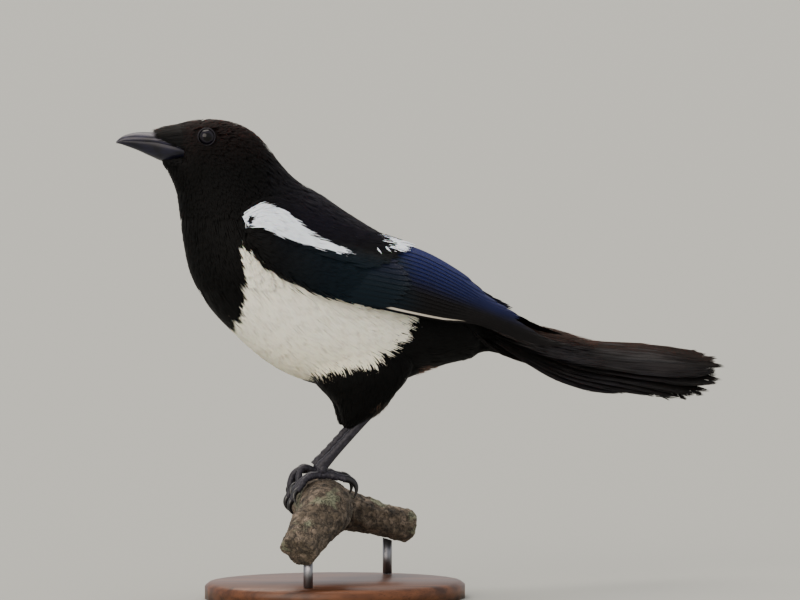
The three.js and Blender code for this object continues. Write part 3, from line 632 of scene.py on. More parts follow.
def joinedForm():
    turn = turnAngles(48)
    grids = [bodyPoint(*crossed(np.linspace(0, lastBody, 103), turn))]
    for name, side in sides.items():
        grids.append(thighPoint(side, *crossed(np.linspace(0, lastThigh, 41), turn)))
        row, place = crossed(np.linspace(0, arm["to"], 34), np.linspace(0, 1, 22))
        front, across = armForm(row, place)
        outer = wingSheets[name](row, place, armOut(row, place))
        inner = wingSheets[name](row, place, -arm["deep"] * (front * across))
        grids.append(np.concatenate([outer, inner[:, ::-1]], axis=1))
    grids.append(tailRootPoint(*crossed(np.linspace(0, lastTailRoot, 25), turn)))
    whole = bpy.data.objects.new("skin_guide", joinedLofts("skin_guide", grids))
    scene.collection.objects.link(whole)
    remesh = whole.modifiers.new("remesh", "REMESH")
    remesh.mode = "VOXEL"
    remesh.voxel_size = skinForm["voxel"] * mm
    soften = whole.modifiers.new("soften", "SMOOTH")
    soften.iterations = skinForm["smooth"]
    soften.factor = 0.5
    bpy.context.view_layer.update()
    made = bpy.data.meshes.new_from_object(whole.evaluated_get(bpy.context.evaluated_depsgraph_get()))
    bpy.data.objects.remove(whole)
    return made


def readVectors(mesh, key):
    values = np.zeros(len(mesh.vertices) * 3, np.float32)
    mesh.vertices.foreach_get(key, values)
    return values.reshape(-1, 3).astype(float)


def freeGape(points):
    # the cheeks' front stays within the lower bill, so that its sides show as far back as the gape
    x, y, z = points.T
    edge, under, half = (np.interp(x, billRows[:, 0], billRows[:, k]) for k in (2, 3, 4))
    share = (edge - z) / (edge - under)
    wide = np.interp(share, *np.array(billHalf)[:, ::-1].T)
    inside = np.minimum(np.abs(y), np.maximum(half * wide - 0.6, 0))
    near = smoothStep(-82.5, -85.5, x) * smoothStep(-0.2, 0.02, share) * smoothStep(1.0, 0.75, share)
    return np.stack([x, np.sign(y) * mix(np.abs(y), inside, near), z], -1)


def skinDepth(points):
    return mix(skinForm["faceDepth"], skinForm["depth"], smoothStep(-84, -58, points[:, 0]))


guide = joinedForm()
guideCo = freeGape(readVectors(guide, "co") / mm)
guide.vertices.foreach_set("co", (guideCo * mm).astype(np.float32).ravel())
guide.update()
guideNormals = readVectors(guide, "normal")
guideFaces = [list(p.vertices) for p in guide.polygons]
guideTree = BVHTree.FromPolygons(guideCo.tolist(), guideFaces)
print("guide form", len(guideCo), "points")

# Where the lie of the coat, the region and the unwrap are read from

bodyKind, thighKind, wingKind, tailKind = range(4)
# patches of the unwrap: left edge, where the first row lies, width, how far the last row is from the first
unwrap = {
    "body": (0.02, 0.02, 0.6, 0.96),
    "thigh_l": (0.65, 0.45, 0.15, -0.42),
    "thigh_r": (0.83, 0.45, 0.15, -0.42),
    "wing_l": (0.65, 0.52, 0.15, 0.45),
    "wing_r": (0.83, 0.52, 0.15, 0.45),
    "tailRoot": (0.65, 0.475, 0.3, 0.035),
}


def onPatch(name, across, along):
    left, first, width, height = unwrap[name]
    return np.stack([left + width * across, first + height * along], -1)


def lieSamples():
    places, lies, maps, kinds = [], [], [], []

    def take(point, ahead, uv, kind):
        places.append(point.reshape(-1, 3))
        lies.append(unit(ahead - point).reshape(-1, 3))
        maps.append(uv.reshape(-1, 2))
        kinds.append(np.full(point[..., 0].size, kind))

    def share(angle):
        return (angle + np.pi) / (2 * np.pi)

    t, a = crossed(np.linspace(0, lastBody, 180), np.linspace(-np.pi, np.pi, 97))
    sag = 0.05 * np.sin(a) * np.abs(np.sin(a))
    uv = onPatch("body", share(a), t / lastBody)
    take(bodyPoint(t, a), bodyPoint(t + 0.1, a + 0.1 * sag), uv, bodyKind)
    for name, side in sides.items():
        t, a = crossed(np.linspace(1.5, lastThigh, 60), np.linspace(-np.pi, np.pi, 49))
        point = thighPoint(side, t, a)
        uv = onPatch("thigh_" + name, share(a), t / lastThigh)
        take(point, point + np.array([-0.25, 0, -1.0]), uv, thighKind)
        row, v = crossed(np.linspace(0, arm["to"], 60), np.linspace(0, 1, 40))
        out = armOut(row, v)
        sheet, uv = wingSheets[name], onPatch("wing_" + name, v, row / arm["to"])
        take(sheet(row, v, out), sheet(row + 0.1, v - 0.004, out), uv, wingKind)
    t, a = crossed(np.linspace(0.6, lastTailRoot, 40), np.linspace(-np.pi, np.pi, 49))
    point = tailRootPoint(t, a)
    back = np.array([math.cos(tailSet["swing"]), math.sin(tailSet["swing"]), -0.12])
    take(point, point + back, onPatch("tailRoot", share(a), t / lastTailRoot), tailKind)
    return [np.concatenate(part) for part in (places, lies, maps, kinds)]


samplePlaces, sampleLies, sampleMaps, sampleKinds = lieSamples()
sampleTree = treeOf(samplePlaces)


def nearestSamples(points):
    return np.array([sampleTree.find(p)[1] for p in points])


def smoothLies(rounds=12):
    # the lie at each point of the form, in its surface and averaged with its neighbours'
    lies = sampleLies[nearestSamples(guideCo)]
    edges = np.array([list(e.vertices) for e in guide.edges])
    for _ in range(rounds):
        total = lies.copy()
        np.add.at(total, edges[:, 0], lies[edges[:, 1]])
        np.add.at(total, edges[:, 1], lies[edges[:, 0]])
        lies = unit(total - guideNormals * np.sum(total * guideNormals, axis=1, keepdims=True))
    return lies


guideLies = smoothLies()


def skinMarks(points, rng):
    nearest = nearestSamples(points)
    return plumageColour(points, sampleKinds[nearest] == wingKind, rng), sampleMaps[nearest]


def buildSkin():
    rng = np.random.default_rng(3)
    points = guideCo - guideNormals * skinDepth(guideCo)[:, None]
    colours, maps = skinMarks(guideCo, rng)
    quads = np.array([f for f in guideFaces if len(f) == 4])
    # faces on the seam of the unwrap get points of their own, so that none stretches over it
    seam = np.where(np.ptp(maps[quads], axis=1).max(axis=1) > 0.2)[0]
    extra = quads[seam].ravel()
    quads[seam] = len(points) + np.arange(len(extra)).reshape(-1, 4)
    seamMaps = np.repeat(maps[extra.reshape(-1, 4)[:, 0]], 4, axis=0)
    points, maps = np.vstack([points, points[extra]]), np.vstack([maps, seamMaps])
    colours = np.vstack([colours, colours[extra]])
    # painted shade: the skin is painted at 0.8 of its plumage colour, standing in for the shade under the
    # coat
    shade = np.full((len(points), 3), 0.8)
    makePiece(
        "skin", points, quads, plumageMaterial, {"OFBake": maps},
        {"plumage": colours, "shade": shade},
        ("head", "neck", "torso", "thigh_l", "thigh_r"),
    )


buildSkin()
print("skin done")

# Coat of contour feathers: tufts of pointed locks that lie back over the skin

# length, spacing, locks, half width of the tuft, half width of a lock, lift of the tips, in mm
coat = {
    "face": (4.8, 1.15, 5, 0.9, 0.32, 0.08),
    "crown": (7.5, 1.5, 7, 1.25, 0.34, 0.12),
    "neck": (14, 2.2, 8, 2.0, 0.44, 0.15),
    "breast": (23, 2.6, 10, 2.9, 0.52, 0.12),
    "back": (20, 2.7, 8, 2.8, 0.62, 0.12),
    "rump": (24, 2.8, 8, 2.8, 0.56, 0.4),
    "tailRoot": (20, 2.5, 8, 2.6, 0.52, 0.3),
    "thigh": (15, 2.2, 8, 2.2, 0.44, 0.35),
    "shoulder": (13, 2.2, 8, 2.5, 0.52, 0.1),
}
regionNames = list(coat)
lockShare = np.array([0, 0.38, 0.74])  # where a lock's rings are along it
lockWide = np.array([0.75, 1.0, 0.66])
lockThick = 0.14
lockPoints = 10
pathSteps = np.linspace(0, 1, 4)
candidates = 90000
# the folded wing behind the arm, as rows and columns of its sheet; no tuft starts within reach under it
wingCover = {"rows": slice(43, None), "columns": slice(3, 22), "reach": 1.6}


def regionOf(points, kinds):
    # later rules take over from earlier ones
    x, _, z = points.T
    toEye = np.min([np.linalg.norm(points - eye, axis=1) for eye in eyePlaces], axis=0)
    rules = {
        "back": (z > 195) & (x > -50),
        "rump": ((x > 20) & (z > 175)) | (x > 40),
        "neck": (z > 178) & (x < -28 + (z - 215) * 0.2),
        "crown": (z > 214) & (x < -40),
        "face": ((x < -76) & (z > 226)) | (toEye < 11),
        "thigh": kinds == thighKind,
        "shoulder": kinds == wingKind,
        "tailRoot": kinds == tailKind,
    }
    region = np.full(len(points), regionNames.index("breast"))
    for name, taken in rules.items():
        region[taken] = regionNames.index(name)
    return region


def scatterRoots(rng):
    # candidates all over the form, thinned out until they keep their region's spacing
    corners = guideCo[np.array([f[:3] for f in guideFaces])]
    area = np.linalg.norm(np.cross(corners[:, 1] - corners[:, 0], corners[:, 2] - corners[:, 0]), axis=1)
    chosen = rng.choice(len(corners), candidates, p=area / area.sum())
    a, b = rng.random((2, len(chosen), 1))
    tri = corners[chosen]
    points = tri[:, 0] + a * (tri[:, 1] - tri[:, 0]) + b * (tri[:, 2] - tri[:, 1])
    nearest = nearestSamples(points)
    kinds = sampleKinds[nearest]
    region = regionOf(points, kinds)
    spacing = np.array([coat[name][1] for name in regionNames])[region]
    tree = treeOf(points)
    free = np.ones(len(points), bool)
    kept = []
    for index in range(len(points)):
        if free[index]:
            kept.append(index)
            for _, other, _ in tree.find_range(points[index], spacing[index]):
                free[other] = False
    kept = np.array(kept)
    return points[kept], kinds[kept], region[kept]


def blockers():
    # CAD solids that no tuft may start in
    trees = []
    for name in ("bill_upper", "bill_lower"):
        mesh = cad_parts[name].data
        co = [v.co / mm for v in mesh.vertices]
        trees.append(BVHTree.FromPolygons(co, [list(p.vertices) for p in mesh.polygons]))
    return trees


def insideAny(trees, point, margin):
    for tree in trees:
        if tree.find_nearest(point)[3] < margin:
            return True
        place, crossings = Vector(point), 0
        while True:
            hit = tree.ray_cast(place, Vector((0.05, 0.03, 1)))[0]
            if hit is None:
                break
            crossings += 1
            place = hit + Vector((0, 0, 0.01))
        if crossings % 2:
            return True
    return False


def underWing(points):
    covered = np.zeros(len(points), bool)
    for name, side in sides.items():
        grid = wingSheets[name].points[wingCover["rows"], wingCover["columns"]].reshape(-1, 3)
        tree = treeOf(grid * [1, 0, 1])
        for index, point in enumerate(points):
            if point[1] * side < 3:
                continue
            _, nearest, distance = tree.find((point[0], 0, point[2]))
            if distance < wingCover["reach"] and abs(grid[nearest][1]) > abs(point[1]) - 1:
                covered[index] = True
    return covered


def tuftPaths(roots, length):
    # each tuft's middle line in three steps over the form, with its side and outward directions
    steps = 3
    points, forward, outward = [roots], [], []
    for step in range(steps + 1):
        place = points[-1]
        found = [guideTree.find_nearest(p) for p in place]
        surface = np.array([f[0] for f in found])
        corner = [guideFaces[f[2]][0] for f in found]
        normal, lie = guideNormals[corner], guideLies[corner]
        if step:
            lie = unit(0.5 * lie + 0.5 * forward[-1])
        forward.append(lie)
        outward.append(normal)
        points[-1] = surface
        if step < steps:
            points.append(surface + lie * (length / steps)[:, None])
    path = np.stack(points, 1)
    forward, outward = np.stack(forward, 1), np.stack(outward, 1)
    return path, unit(np.cross(forward, outward)), outward


def lockTriangles(count):
    # triangles of count locks of three rings of three points and a tip
    one = [(0, 1, 2)]
    for ring in (0, 3):
        for a, b in ((0, 1), (1, 2), (2, 0)):
            one += [(ring + a, ring + 3 + a, ring + 3 + b), (ring + a, ring + 3 + b, ring + b)]
    one += [(6 + a, 9, 6 + b) for a, b in ((0, 1), (1, 2), (2, 0))]
    return (np.array(one)[None] + lockPoints * np.arange(count)[:, None, None]).reshape(-1, 3)


def readPath(path, share):
    # a point on each path, straight between its four points; share is (tufts, locks, rings)
    place = np.clip(share * 3, 0, 2.9999)
    i = place.astype(int)
    f = (place - i)[..., None]
    tuft = np.arange(len(path))[:, None, None]
    return mix(path[tuft, i], path[tuft, i + 1], f)


def tuftMesh(path, side, outward, settings, rng, depth, rise):
    # points, place along each lock and normals of a tuft of locks on every path
    _, _, locks, half, lockHalf, lift = settings
    count = len(path)
    place = np.linspace(-1, 1, locks)[None] + rng.normal(0, 0.08, (count, locks))
    reach = 1 - 0.2 * place**2 - 0.12 * rng.random((count, locks))
    ring = np.append(lockShare, 1.0)
    share = reach[..., None] * ring
    centre = readPath(path, share)
    across, up = readPath(side, share), readPath(outward, share)
    spread = half * place[..., None] * (0.72 + 0.28 * ring)
    stray = rng.normal(0, 0.1, (count, locks, 1)) * half * ring**2
    out = -np.reshape(depth, (-1, 1, 1)) * (1 - smoothStep(0, 0.7, ring))
    out = out + lift * ring**2 + rise[:, None, None]
    out = out + rng.normal(0, 0.06, (count, locks, 1)) * ring - 0.2 * (place**2)[..., None]
    centre = centre + across * (spread + stray)[..., None] + up * out[..., None]
    wide = (lockHalf * lockWide)[None, None, :, None]
    body, tip = centre[:, :, :3], centre[:, :, 3]
    left = body - across[:, :, :3] * wide
    right = body + across[:, :, :3] * wide
    top = body + up[:, :, :3] * lockThick
    rings = np.stack([left, right, top], 3).reshape(count, locks, 9, 3)
    points = np.concatenate([rings, tip[:, :, None]], 2).reshape(-1, 3)
    lean = 0.3 * across[:, :, :3]
    facing = np.stack([up[:, :, :3] - lean, up[:, :, :3] + lean, up[:, :, :3]], 3)
    normals = np.concatenate([facing.reshape(count, locks, 9, 3), up[:, :, 3:]], 2).reshape(-1, 3)
    along = np.tile(np.append(np.repeat(lockShare, 3), 1.0), count * locks)
    return points, along, unit(normals)


def plain(colour):
    # one colour for all locks
    return lambda tips, tuft: np.tile(colour, (len(tips), 1))


class Coat:
    # Collects tufts into one piece.
    def __init__(self):
        self.parts = {key: [] for key in ("points", "normals", "maps", "colours", "shades")}

    def add(self, path, side, outward, settings, rng, colourOf, maps, depth, rootShade=0.15, tones=(0.92, 1.04)):
        rise = rng.normal(0, 0.06, len(path))
        points, along, normals = tuftMesh(path, side, outward, settings, rng, depth, rise)
        locks = settings[2]
        perPoint = np.repeat(np.arange(len(path)), locks * lockPoints)
        # a lock takes the colour of the place near its tip
        shown = (points[8::lockPoints] + points[9::lockPoints]) / 2
        colours = np.repeat(colourOf(shown, np.repeat(np.arange(len(path)), locks)), lockPoints, axis=0)
        across = np.tile(np.repeat(np.linspace(0, 1, locks), lockPoints), len(path))
        tone = np.repeat(rng.uniform(*tones, len(path) * locks), lockPoints)
        # painted shade: each lock is painted darker towards its root, where other locks lie over it, and pale
        # locks less so
        pale = smoothStep(0.1, 0.5, colours[:, 1])
        depth = mix(rootShade, 0.3 * rootShade, pale)
        shade = mix(tone, 0.98 + 0.25 * (tone - 0.98), pale) * (1 - depth + depth * smoothStep(0, 0.6, along))
        self.parts["points"].append(points)
        self.parts["normals"].append(normals)
        self.parts["maps"].append(maps[perPoint] + np.stack([across, along], -1) * 0.003)
        self.parts["colours"].append(colours)
        self.parts["shades"].append(np.repeat(shade[:, None], 3, 1))

    def finish(self, name, slot="black_plumage"):
        merged = {key: np.concatenate(part) for key, part in self.parts.items()}
        faces = lockTriangles(len(merged["points"]) // lockPoints)
        makePiece(
            name, merged["points"], faces, plumageMaterial, {"OFBake": merged["maps"]},
            {"plumage": merged["colours"], "shade": merged["shades"]}, (), merged["normals"],
        )
        print(name, len(faces), "triangles")
        return len(faces)


def buildCoat():
    rng = np.random.default_rng(11)
    roots, kinds, region = scatterRoots(rng)
    bills = blockers()
    keep = ~underWing(roots)
    keep &= np.array([not insideAny(bills, p, 0.3) for p in roots])
    for eye in eyePlaces:
        keep &= np.linalg.norm(roots - eye, axis=1) > eyes["radius"] + 0.9
    roots, kinds, region = roots[keep], kinds[keep], region[keep]
    length = np.array([coat[name][0] for name in regionNames])[region] * rng.uniform(0.88, 1.12, len(roots))
    path, side, outward = tuftPaths(roots, length)
    clear = np.ones(len(roots), bool)
    for eye in eyePlaces:
        for step in (1, 2, 3):
            clear &= np.linalg.norm(path[:, step] - eye, axis=1) > eyes["radius"] + 0.4

    def of(*names):
        return np.isin(region, [regionNames.index(name) for name in names])

    front, left = roots[:, 0] < -20, roots[:, 1] < 0
    pieces = {
        "coat_head": of("face", "crown"),
        "coat_neck": of("neck"),
        "coat_breast": of("breast") & front,
        "coat_belly": of("breast") & ~front,
        "coat_mantle": of("back"),
        "coat_rump": of("rump"),
        "coat_tail_root": of("tailRoot"),
        "coat_thigh_l": of("thigh") & left,
        "coat_thigh_r": of("thigh") & ~left,
        "coat_shoulder_l": of("shoulder") & left,
        "coat_shoulder_r": of("shoulder") & ~left,
    }
    total = 0
    for name, chosen in pieces.items():
        chosen = chosen & clear
        made = Coat()
        for kind, regionName in enumerate(regionNames):
            here = np.where(chosen & (region == kind))[0]
            if len(here):
                onWing = kinds[here] == wingKind
                maps = sampleMaps[nearestSamples(roots[here])]
                depth = skinDepth(roots[here]) + 0.6

                def colourOf(tips, tuft, onWing=onWing):
                    return plumageColour(tips, onWing[tuft], rng)

                made.add(path[here], side[here], outward[here], coat[regionName], rng, colourOf, maps, depth)
        total += made.finish(name)
    print("coat", total, "triangles")


buildCoat()

# Bristles over the bill's base, and loose hairs and down that break the coat's outline

bristle = {
    "count": 1000,
    "roots": (1.0, 3.2),  # rib numbers on the forehead
    "turn": (0.06, 1.42),  # from the crown round to the gape, in radians
    # x of the tips, from the culmen down the side and back along the mouth
    "reach": ([0, 0.55, 0.8, 1], [-105, -104.5, -100, -89]),
    "mouth": 0.75,  # from here on they end at the mouth line
    # share of the bill's half width that the tips lie at, from the culmen to the mouth line
    "beside": ([0, 0.15, 0.45, 0.8, 1], [0.05, 0.5, 0.88, 1.02, 1.0]),
    "tuft": (0, 0, 1, 0, 0.24, 0.25),  # as in coat
    "tones": (0.4, 5.0),  # painted highlights: some are painted up to five times lighter, as if they caught the light
}


def buildBristles():
    rng = np.random.default_rng(41)
    made = Coat()
    for side in sides.values():
        count = bristle["count"] // 2
        down = rng.random(count) ** 0.85
        root = bodyPoint(rng.uniform(*bristle["roots"], count), side * mix(*bristle["turn"], down))
        x = np.interp(down, *bristle["reach"]) + rng.uniform(0, 4, count)
        culmen, edge, half = (np.interp(x, billRows[:, 0], billRows[:, k]) for k in (1, 2, 4))
        low = np.clip(down / bristle["mouth"], 0, 1)
        beside = half * np.interp(low, *bristle["beside"]) + 0.3
        tip = np.stack([x, side * beside, mix(culmen + 0.4, edge + 0.3, low)], -1)
        tip += rng.normal(0, 0.2, tip.shape)
        middle = (root + tip) / 2 + np.stack([0 * down, side * (0.5 + 0 * down), 0.7 * (1 - down)], -1)
        q = pathSteps[None, :, None]
        path = root[:, None] * (1 - q) ** 2 + 2 * middle[:, None] * q * (1 - q) + tip[:, None] * q**2
        outward = np.stack([0 * down, side * np.sin(down * 1.4), np.cos(down * 1.4)], -1)
        outward = np.repeat(outward[:, None], 4, axis=1)
        forward = unit(np.gradient(path, axis=1))
        across = unit(np.cross(forward, outward))
        maps = sampleMaps[nearestSamples(root)]
        colourOf = plain(ink["black"])
        made.add(path, across, outward, bristle["tuft"], rng, colourOf, maps, 0.8, 0.3, bristle["tones"])
    made.finish("nasal_bristles")


# down and stray hairs: how many, where they are seen (x, z, reach), length, half width, lift, colour
wisps = {
    "vent_down": (300, (50, 119, 8), (4, 9), 0.06, 2.8, "downGrey"),
    "tibia_down": (220, (29, 104, 7), (4, 8), 0.06, 2.6, "downGrey"),
    "flank_hairs": (1500, (24, 138, 32), (8, 14), 0.09, 0.3, None),
    "stray_hairs": (1200, (-20, 190, 150), (7, 12), 0.08, 0.4, None),
}


def buildWisps():
    rng = np.random.default_rng(47)
    x, z = seenFromSide(guideCo)
    onWing = sampleKinds[nearestSamples(guideCo)] == wingKind
    throat = (guideCo[:, 0] < -55) & (guideCo[:, 2] < 246)
    for name, (count, (px, pz, reach), length, half, lift, colour) in wisps.items():
        near = np.hypot(x - px, z - pz) < reach
        near = np.where(near & (guideCo[:, 0] > -84) & ~throat & ~onWing)[0]
        chosen = rng.choice(near, count)
        roots = guideCo[chosen] + rng.normal(0, 0.5, (count, 3))
        path, side, outward = tuftPaths(roots, rng.uniform(*length, count))
        q = pathSteps[None, :, None]
        stray = rng.normal(0, 0.28, (count, 1, 1)) * side * q * 5
        path = path + stray + outward * q**1.5 * rng.uniform(0.2, 1, (count, 1, 1)) * lift
        made = Coat()

        def asPlumage(tips, _):
            return plumageColour(tips, np.zeros(len(tips), bool), rng)

        colourOf = plain(ink[colour]) if colour else asPlumage
        maps = sampleMaps[nearestSamples(roots)]
        made.add(path, side, outward, (0, 0, 1, 0, half, 0), rng, colourOf, maps, 1.0, 0.1, (0.7, 1.2))
        made.finish(name)


buildBristles()
buildWisps()

# Scapulars: long soft feathers over the top of the folded wing, the white patch among them

scapular = {
    "rows": (0.1, 3.9),  # wing rows where they start
    "across": (-0.02, 0.44),
    "to": (4.9, 2.2),  # the row that their tips reach at the upper edge, and how much less further down
    "spacing": 2.6,
    "length": 20,
    "above": 0.8,  # over the shoulder's own coat
    "tuft": (20, 2.6, 11, 2.4, 0.46, 0.15),  # as in coat
    "spot": (0, 0, 3, 0.4, 0.26, 0.1),
    "over": 5.2,  # height of the spots over the sheet
}


def placeOnSheet(name, x, z):
    # row and place across a wing's sheet that are seen at x and z
    sheet = wingSheets[name]
    seenX, seenZ = seenFromSide((sheet.points + scapular["over"] * sheet.normals).reshape(-1, 3))
    row, v = divmod(int(np.argmin(np.hypot(seenX - x, seenZ - z))), sheet.points.shape[1])
    return row * sheet.rowStep, v * sheet.vStep


def alongSheet(name, row, v, rise):
    # paths on a wing's sheet with their side and outward directions
    sheet = wingSheets[name]
    path = sheet(row, v, rise)
    outward = unit(sheet(row, v, rise + 1) - path)
    forward = unit(np.gradient(path, axis=1))
    return path, unit(np.cross(forward, outward)), outward


def buildScapulars(name):
    rng = np.random.default_rng(31)
    first, last = scapular["rows"]
    low, high = scapular["across"]
    rowLength, sheetWidth = 19.0, 34.0  # mm for one wing row, and across the sheet
    starts = []
    for row in np.arange(first, last, scapular["spacing"] / rowLength):
        for v in np.arange(low, high, scapular["spacing"] / sheetWidth):
            starts.append((row + rng.uniform(-0.08, 0.08), v + rng.uniform(-0.03, 0.03)))
    starts = np.array(starts)
    reach = scapular["length"] / rowLength * rng.uniform(0.85, 1.1, len(starts))
    furthest = scapular["to"][0] - scapular["to"][1] * starts[:, 1] + rng.uniform(-0.15, 0.1, len(starts))
    rows = np.stack([starts[:, 0], np.minimum(starts[:, 0] + reach, furthest)], -1)
    long = rows[:, 1] - rows[:, 0] > 0.25
    starts, rows = starts[long], rows[long]

    def out(row, v):
        level = wing["remigesOut"]
        over = np.maximum(armOut(np.minimum(row, arm["to"]), v), level + 1.2) + scapular["above"]
        return mix(over, level + 0.5, smoothStep(3.6, 4.9, row))

    row = rows[:, :1] + (rows[:, 1:] - rows[:, :1]) * pathSteps
    v = np.clip(starts[:, 1:] + 0 * row, 0, 1)
    path, across, outward = alongSheet(name, row, v, out(row, v))
    made = Coat()

    def colourOf(tips, tuft):
        return plumageColour(tips, np.ones(len(tips), bool), rng)

    maps = onPatch("wing_" + name, np.clip(starts[:, 1], 0, 1), rows[:, 0] / 4.5)
    made.add(path, across, outward, scapular["tuft"], rng, colourOf, maps, 2.4, 0.05)
    for ends in markings["spots"]:
        (row, v), (rowTo, vTo) = (placeOnSheet(name, *end) for end in ends)
        row, v = mix(row, rowTo, pathSteps)[None], mix(v, vTo, pathSteps)[None]
        path, across, outward = alongSheet(name, row, v, out(row, v) + 0.5)
        made.add(path, across, outward, scapular["spot"], rng, plain(ink["coolWhite"]), maps[:1], 0.3, 0.05)
    made.finish("scapulars_" + name, "white_plumage")


# Wings: flight feathers and coverts as vanes on the wing's sheet

wing = {
    "remigesFrom": 3.7,
    "remigesTo": [
        6.35, 6.8, 7.2, 7.55, 7.8, 7.95, 7.95, 7.9, 8.2, 8.6, 9.0, 9.4, 9.75, 9.9, 9.6, 9.1, 7.0,
    ],
    "remigesOut": 2.6,
    # wing rows before a feather's tip, and the share of its width there
    "remigesShape": ([0, 0.05, 0.16, 0.45, 0.9], [0.06, 0.3, 0.6, 0.9, 1.0]),
    "layer": 0.27,
    "covertsFrom": 2.7,
    "covertsTo": [4.35, 4.55, 4.75, 4.85, 4.9, 4.9, 4.85, 4.8, 4.7, 4.6],
    "covertsAt": (0.3, 0.92),  # across the sheet
    "covertsOut": 3.6,
    "covertsShape": ([0, 0.5, 0.86, 0.96, 1], [0.8, 1, 0.75, 0.4, 0.08]),
    "thick": 0.22,
}
vaneMap = "vane"  # across and along each vane in metres, for the barbs' pattern


def vaneGrid(surface, stations, centre, half, out, tilt, across, bow, thick):
    # top and bottom faces of a vane; stations are rows of (place along, share of width, lift)
    e = np.linspace(-1, 1, across + 1)
    along = stations[:, 0][:, None] + 0 * e
    place = centre(stations[:, 0])[:, None] + e * (half * stations[:, 1])[:, None]
    wide = stations[:, 1][:, None] * e
    off = out + tilt * wide + bow * (1 - e**2) * stations[:, 1][:, None] + stations[:, 2][:, None]
    body = thick * (1 - 0.75 * np.abs(e) ** 2)[None] * np.ones_like(along)
    rachis = 0.14 * np.exp(-((e / 0.07) ** 2)) * (1 - 0.8 * np.linspace(0, 1, len(stations)))[:, None]
    top = surface(along, place, off + rachis)
    bottom = surface(along, place, off - body)
    return top, bottom


def vaneFaces(rows, columns):
    # closed: top, bottom and the four edges of a grid of rows by columns points, twice
    index = np.arange(rows * columns).reshape(rows, columns)
    a, b, c, d = index[:-1, :-1], index[:-1, 1:], index[1:, 1:], index[1:, :-1]
    top = np.stack([a, b, c, d], -1).reshape(-1, 4)
    under = np.stack([a, d, c, b], -1).reshape(-1, 4) + index.size
    loop = np.array([*index[0, :], *index[1:, -1], *index[-1, -2::-1], *index[-2:0:-1, 0]])
    after = np.roll(loop, -1)
    rim = np.stack([after, loop, loop + index.size, after + index.size], -1)
    return np.vstack([top, under, rim])


class VaneSet:
    # Collects vanes into one piece.
    def __init__(self):
        self.parts = {key: [] for key in ("points", "faces", "normals", "maps", "bakes", "colours")}
        self.count = 0

    def add(self, top, bottom, colour, metres, patch):
        rows, columns = top.shape[:2]
        faces = vaneFaces(rows, columns)
        both = np.concatenate([top.reshape(-1, 3), bottom.reshape(-1, 3)])
        a, b, c, d = (both[faces[:, k]] - both.mean(0) for k in range(4))
        inward = np.sum(a * np.cross(b, c)) + np.sum(a * np.cross(c, d)) < 0
        facing = unit(np.cross(np.gradient(top, axis=0), np.gradient(top, axis=1)))
        if np.sum(facing * (top - bottom)) < 0:
            facing = -facing
        facing = facing.reshape(-1, 3)
        q, e = crossed(np.linspace(0, 1, rows), np.linspace(-1, 1, columns))
        length, width = metres
        flat = np.stack([e * width / 2, q * length], -1).reshape(-1, 2)
        left, first, wide, tall = patch
        face = np.stack([left + wide * (e + 1) / 2 * 0.46, first + tall * q], -1).reshape(-1, 2)
        shown = np.asarray(colour(q, e), float).reshape(-1, 3)
        self.parts["points"].append(both)
        self.parts["faces"].append((faces[:, ::-1] if inward else faces) + self.count)
        self.parts["normals"] += [facing, -facing]
        self.parts["maps"] += [flat, flat]
        self.parts["bakes"] += [face, face + np.array([wide * 0.5, 0])]
        self.parts["colours"] += [shown, shown]
        self.count += len(both)

    def finish(self, name, material, stands, slot):
        merged = {key: np.concatenate(part) for key, part in self.parts.items()}
        makePiece(
            name, merged["points"], merged["faces"], material,
            {"OFBake": merged["bakes"], vaneMap: merged["maps"]},
            {"plumage": merged["colours"]}, stands, merged["normals"],
        )
        print(name, 2 * len(merged["faces"]), "triangles")


vaneColours = {
    "blue": "#08144a",
    "deepBlue": "#050a24",
    "teal": "#04131c",
    "brownBlack": "#080606",
    "primaryWhite": "#cfc7b8",
    "shaftAndEdgeDark": "#060506",
    "bronze": "#150d0b",
    "tailBlack": "#070504",
    "tailPurple": "#0a070c",
    "wearAndSheen": "#36261d",
}


def vaneMaterial(name, roughness, barb):
    # Stiff keratin vane: parallel barbs slant back from the shaft and catch the light in fine lines.
    material, tree, shader = newMaterial(name)

    def calc(operation, *parts):
        return addNode(tree, "ShaderNodeMath", dict(enumerate(parts)), operation=operation)

    colour = addNode(tree, "ShaderNodeAttribute", attribute_name="plumage")
    place = addNode(tree, "ShaderNodeUVMap", uv_map=vaneMap)
    beside, along = addNode(tree, "ShaderNodeSeparateXYZ", {0: place}).outputs[:2]
    slant = calc("MULTIPLY", calc("ABSOLUTE", beside), 1.6)
    wave = calc("SINE", calc("MULTIPLY", calc("SUBTRACT", along, slant), 2 * math.pi / (barb * mm)))
    stretch = addNode(tree, "ShaderNodeMapping", {0: place, "Scale": (3.0, 0.35, 1.0)})
    noise = addNode(tree, "ShaderNodeTexNoise", {"Vector": stretch, "Scale": 260.0, "Detail": 3.0})
    addBump(tree, shader, calc("MULTIPLY_ADD", wave, 0.3, noise), 0.5, 0.3)
    shade = addNode(tree, "ShaderNodeMapRange", {0: noise, 1: 0.3, 2: 0.7, 3: 0.75, 4: 1.15})
    setSurface(tree, shader, multiply(tree, colour, shade), roughness, 0.12)
    return material


wingMaterial = vaneMaterial("flight_feather_keratin", 0.42, 1.1)
tailMaterial = vaneMaterial("tail_feather_keratin", 0.45, 1.3)
tint = {key: rgb(code) for key, code in vaneColours.items()}


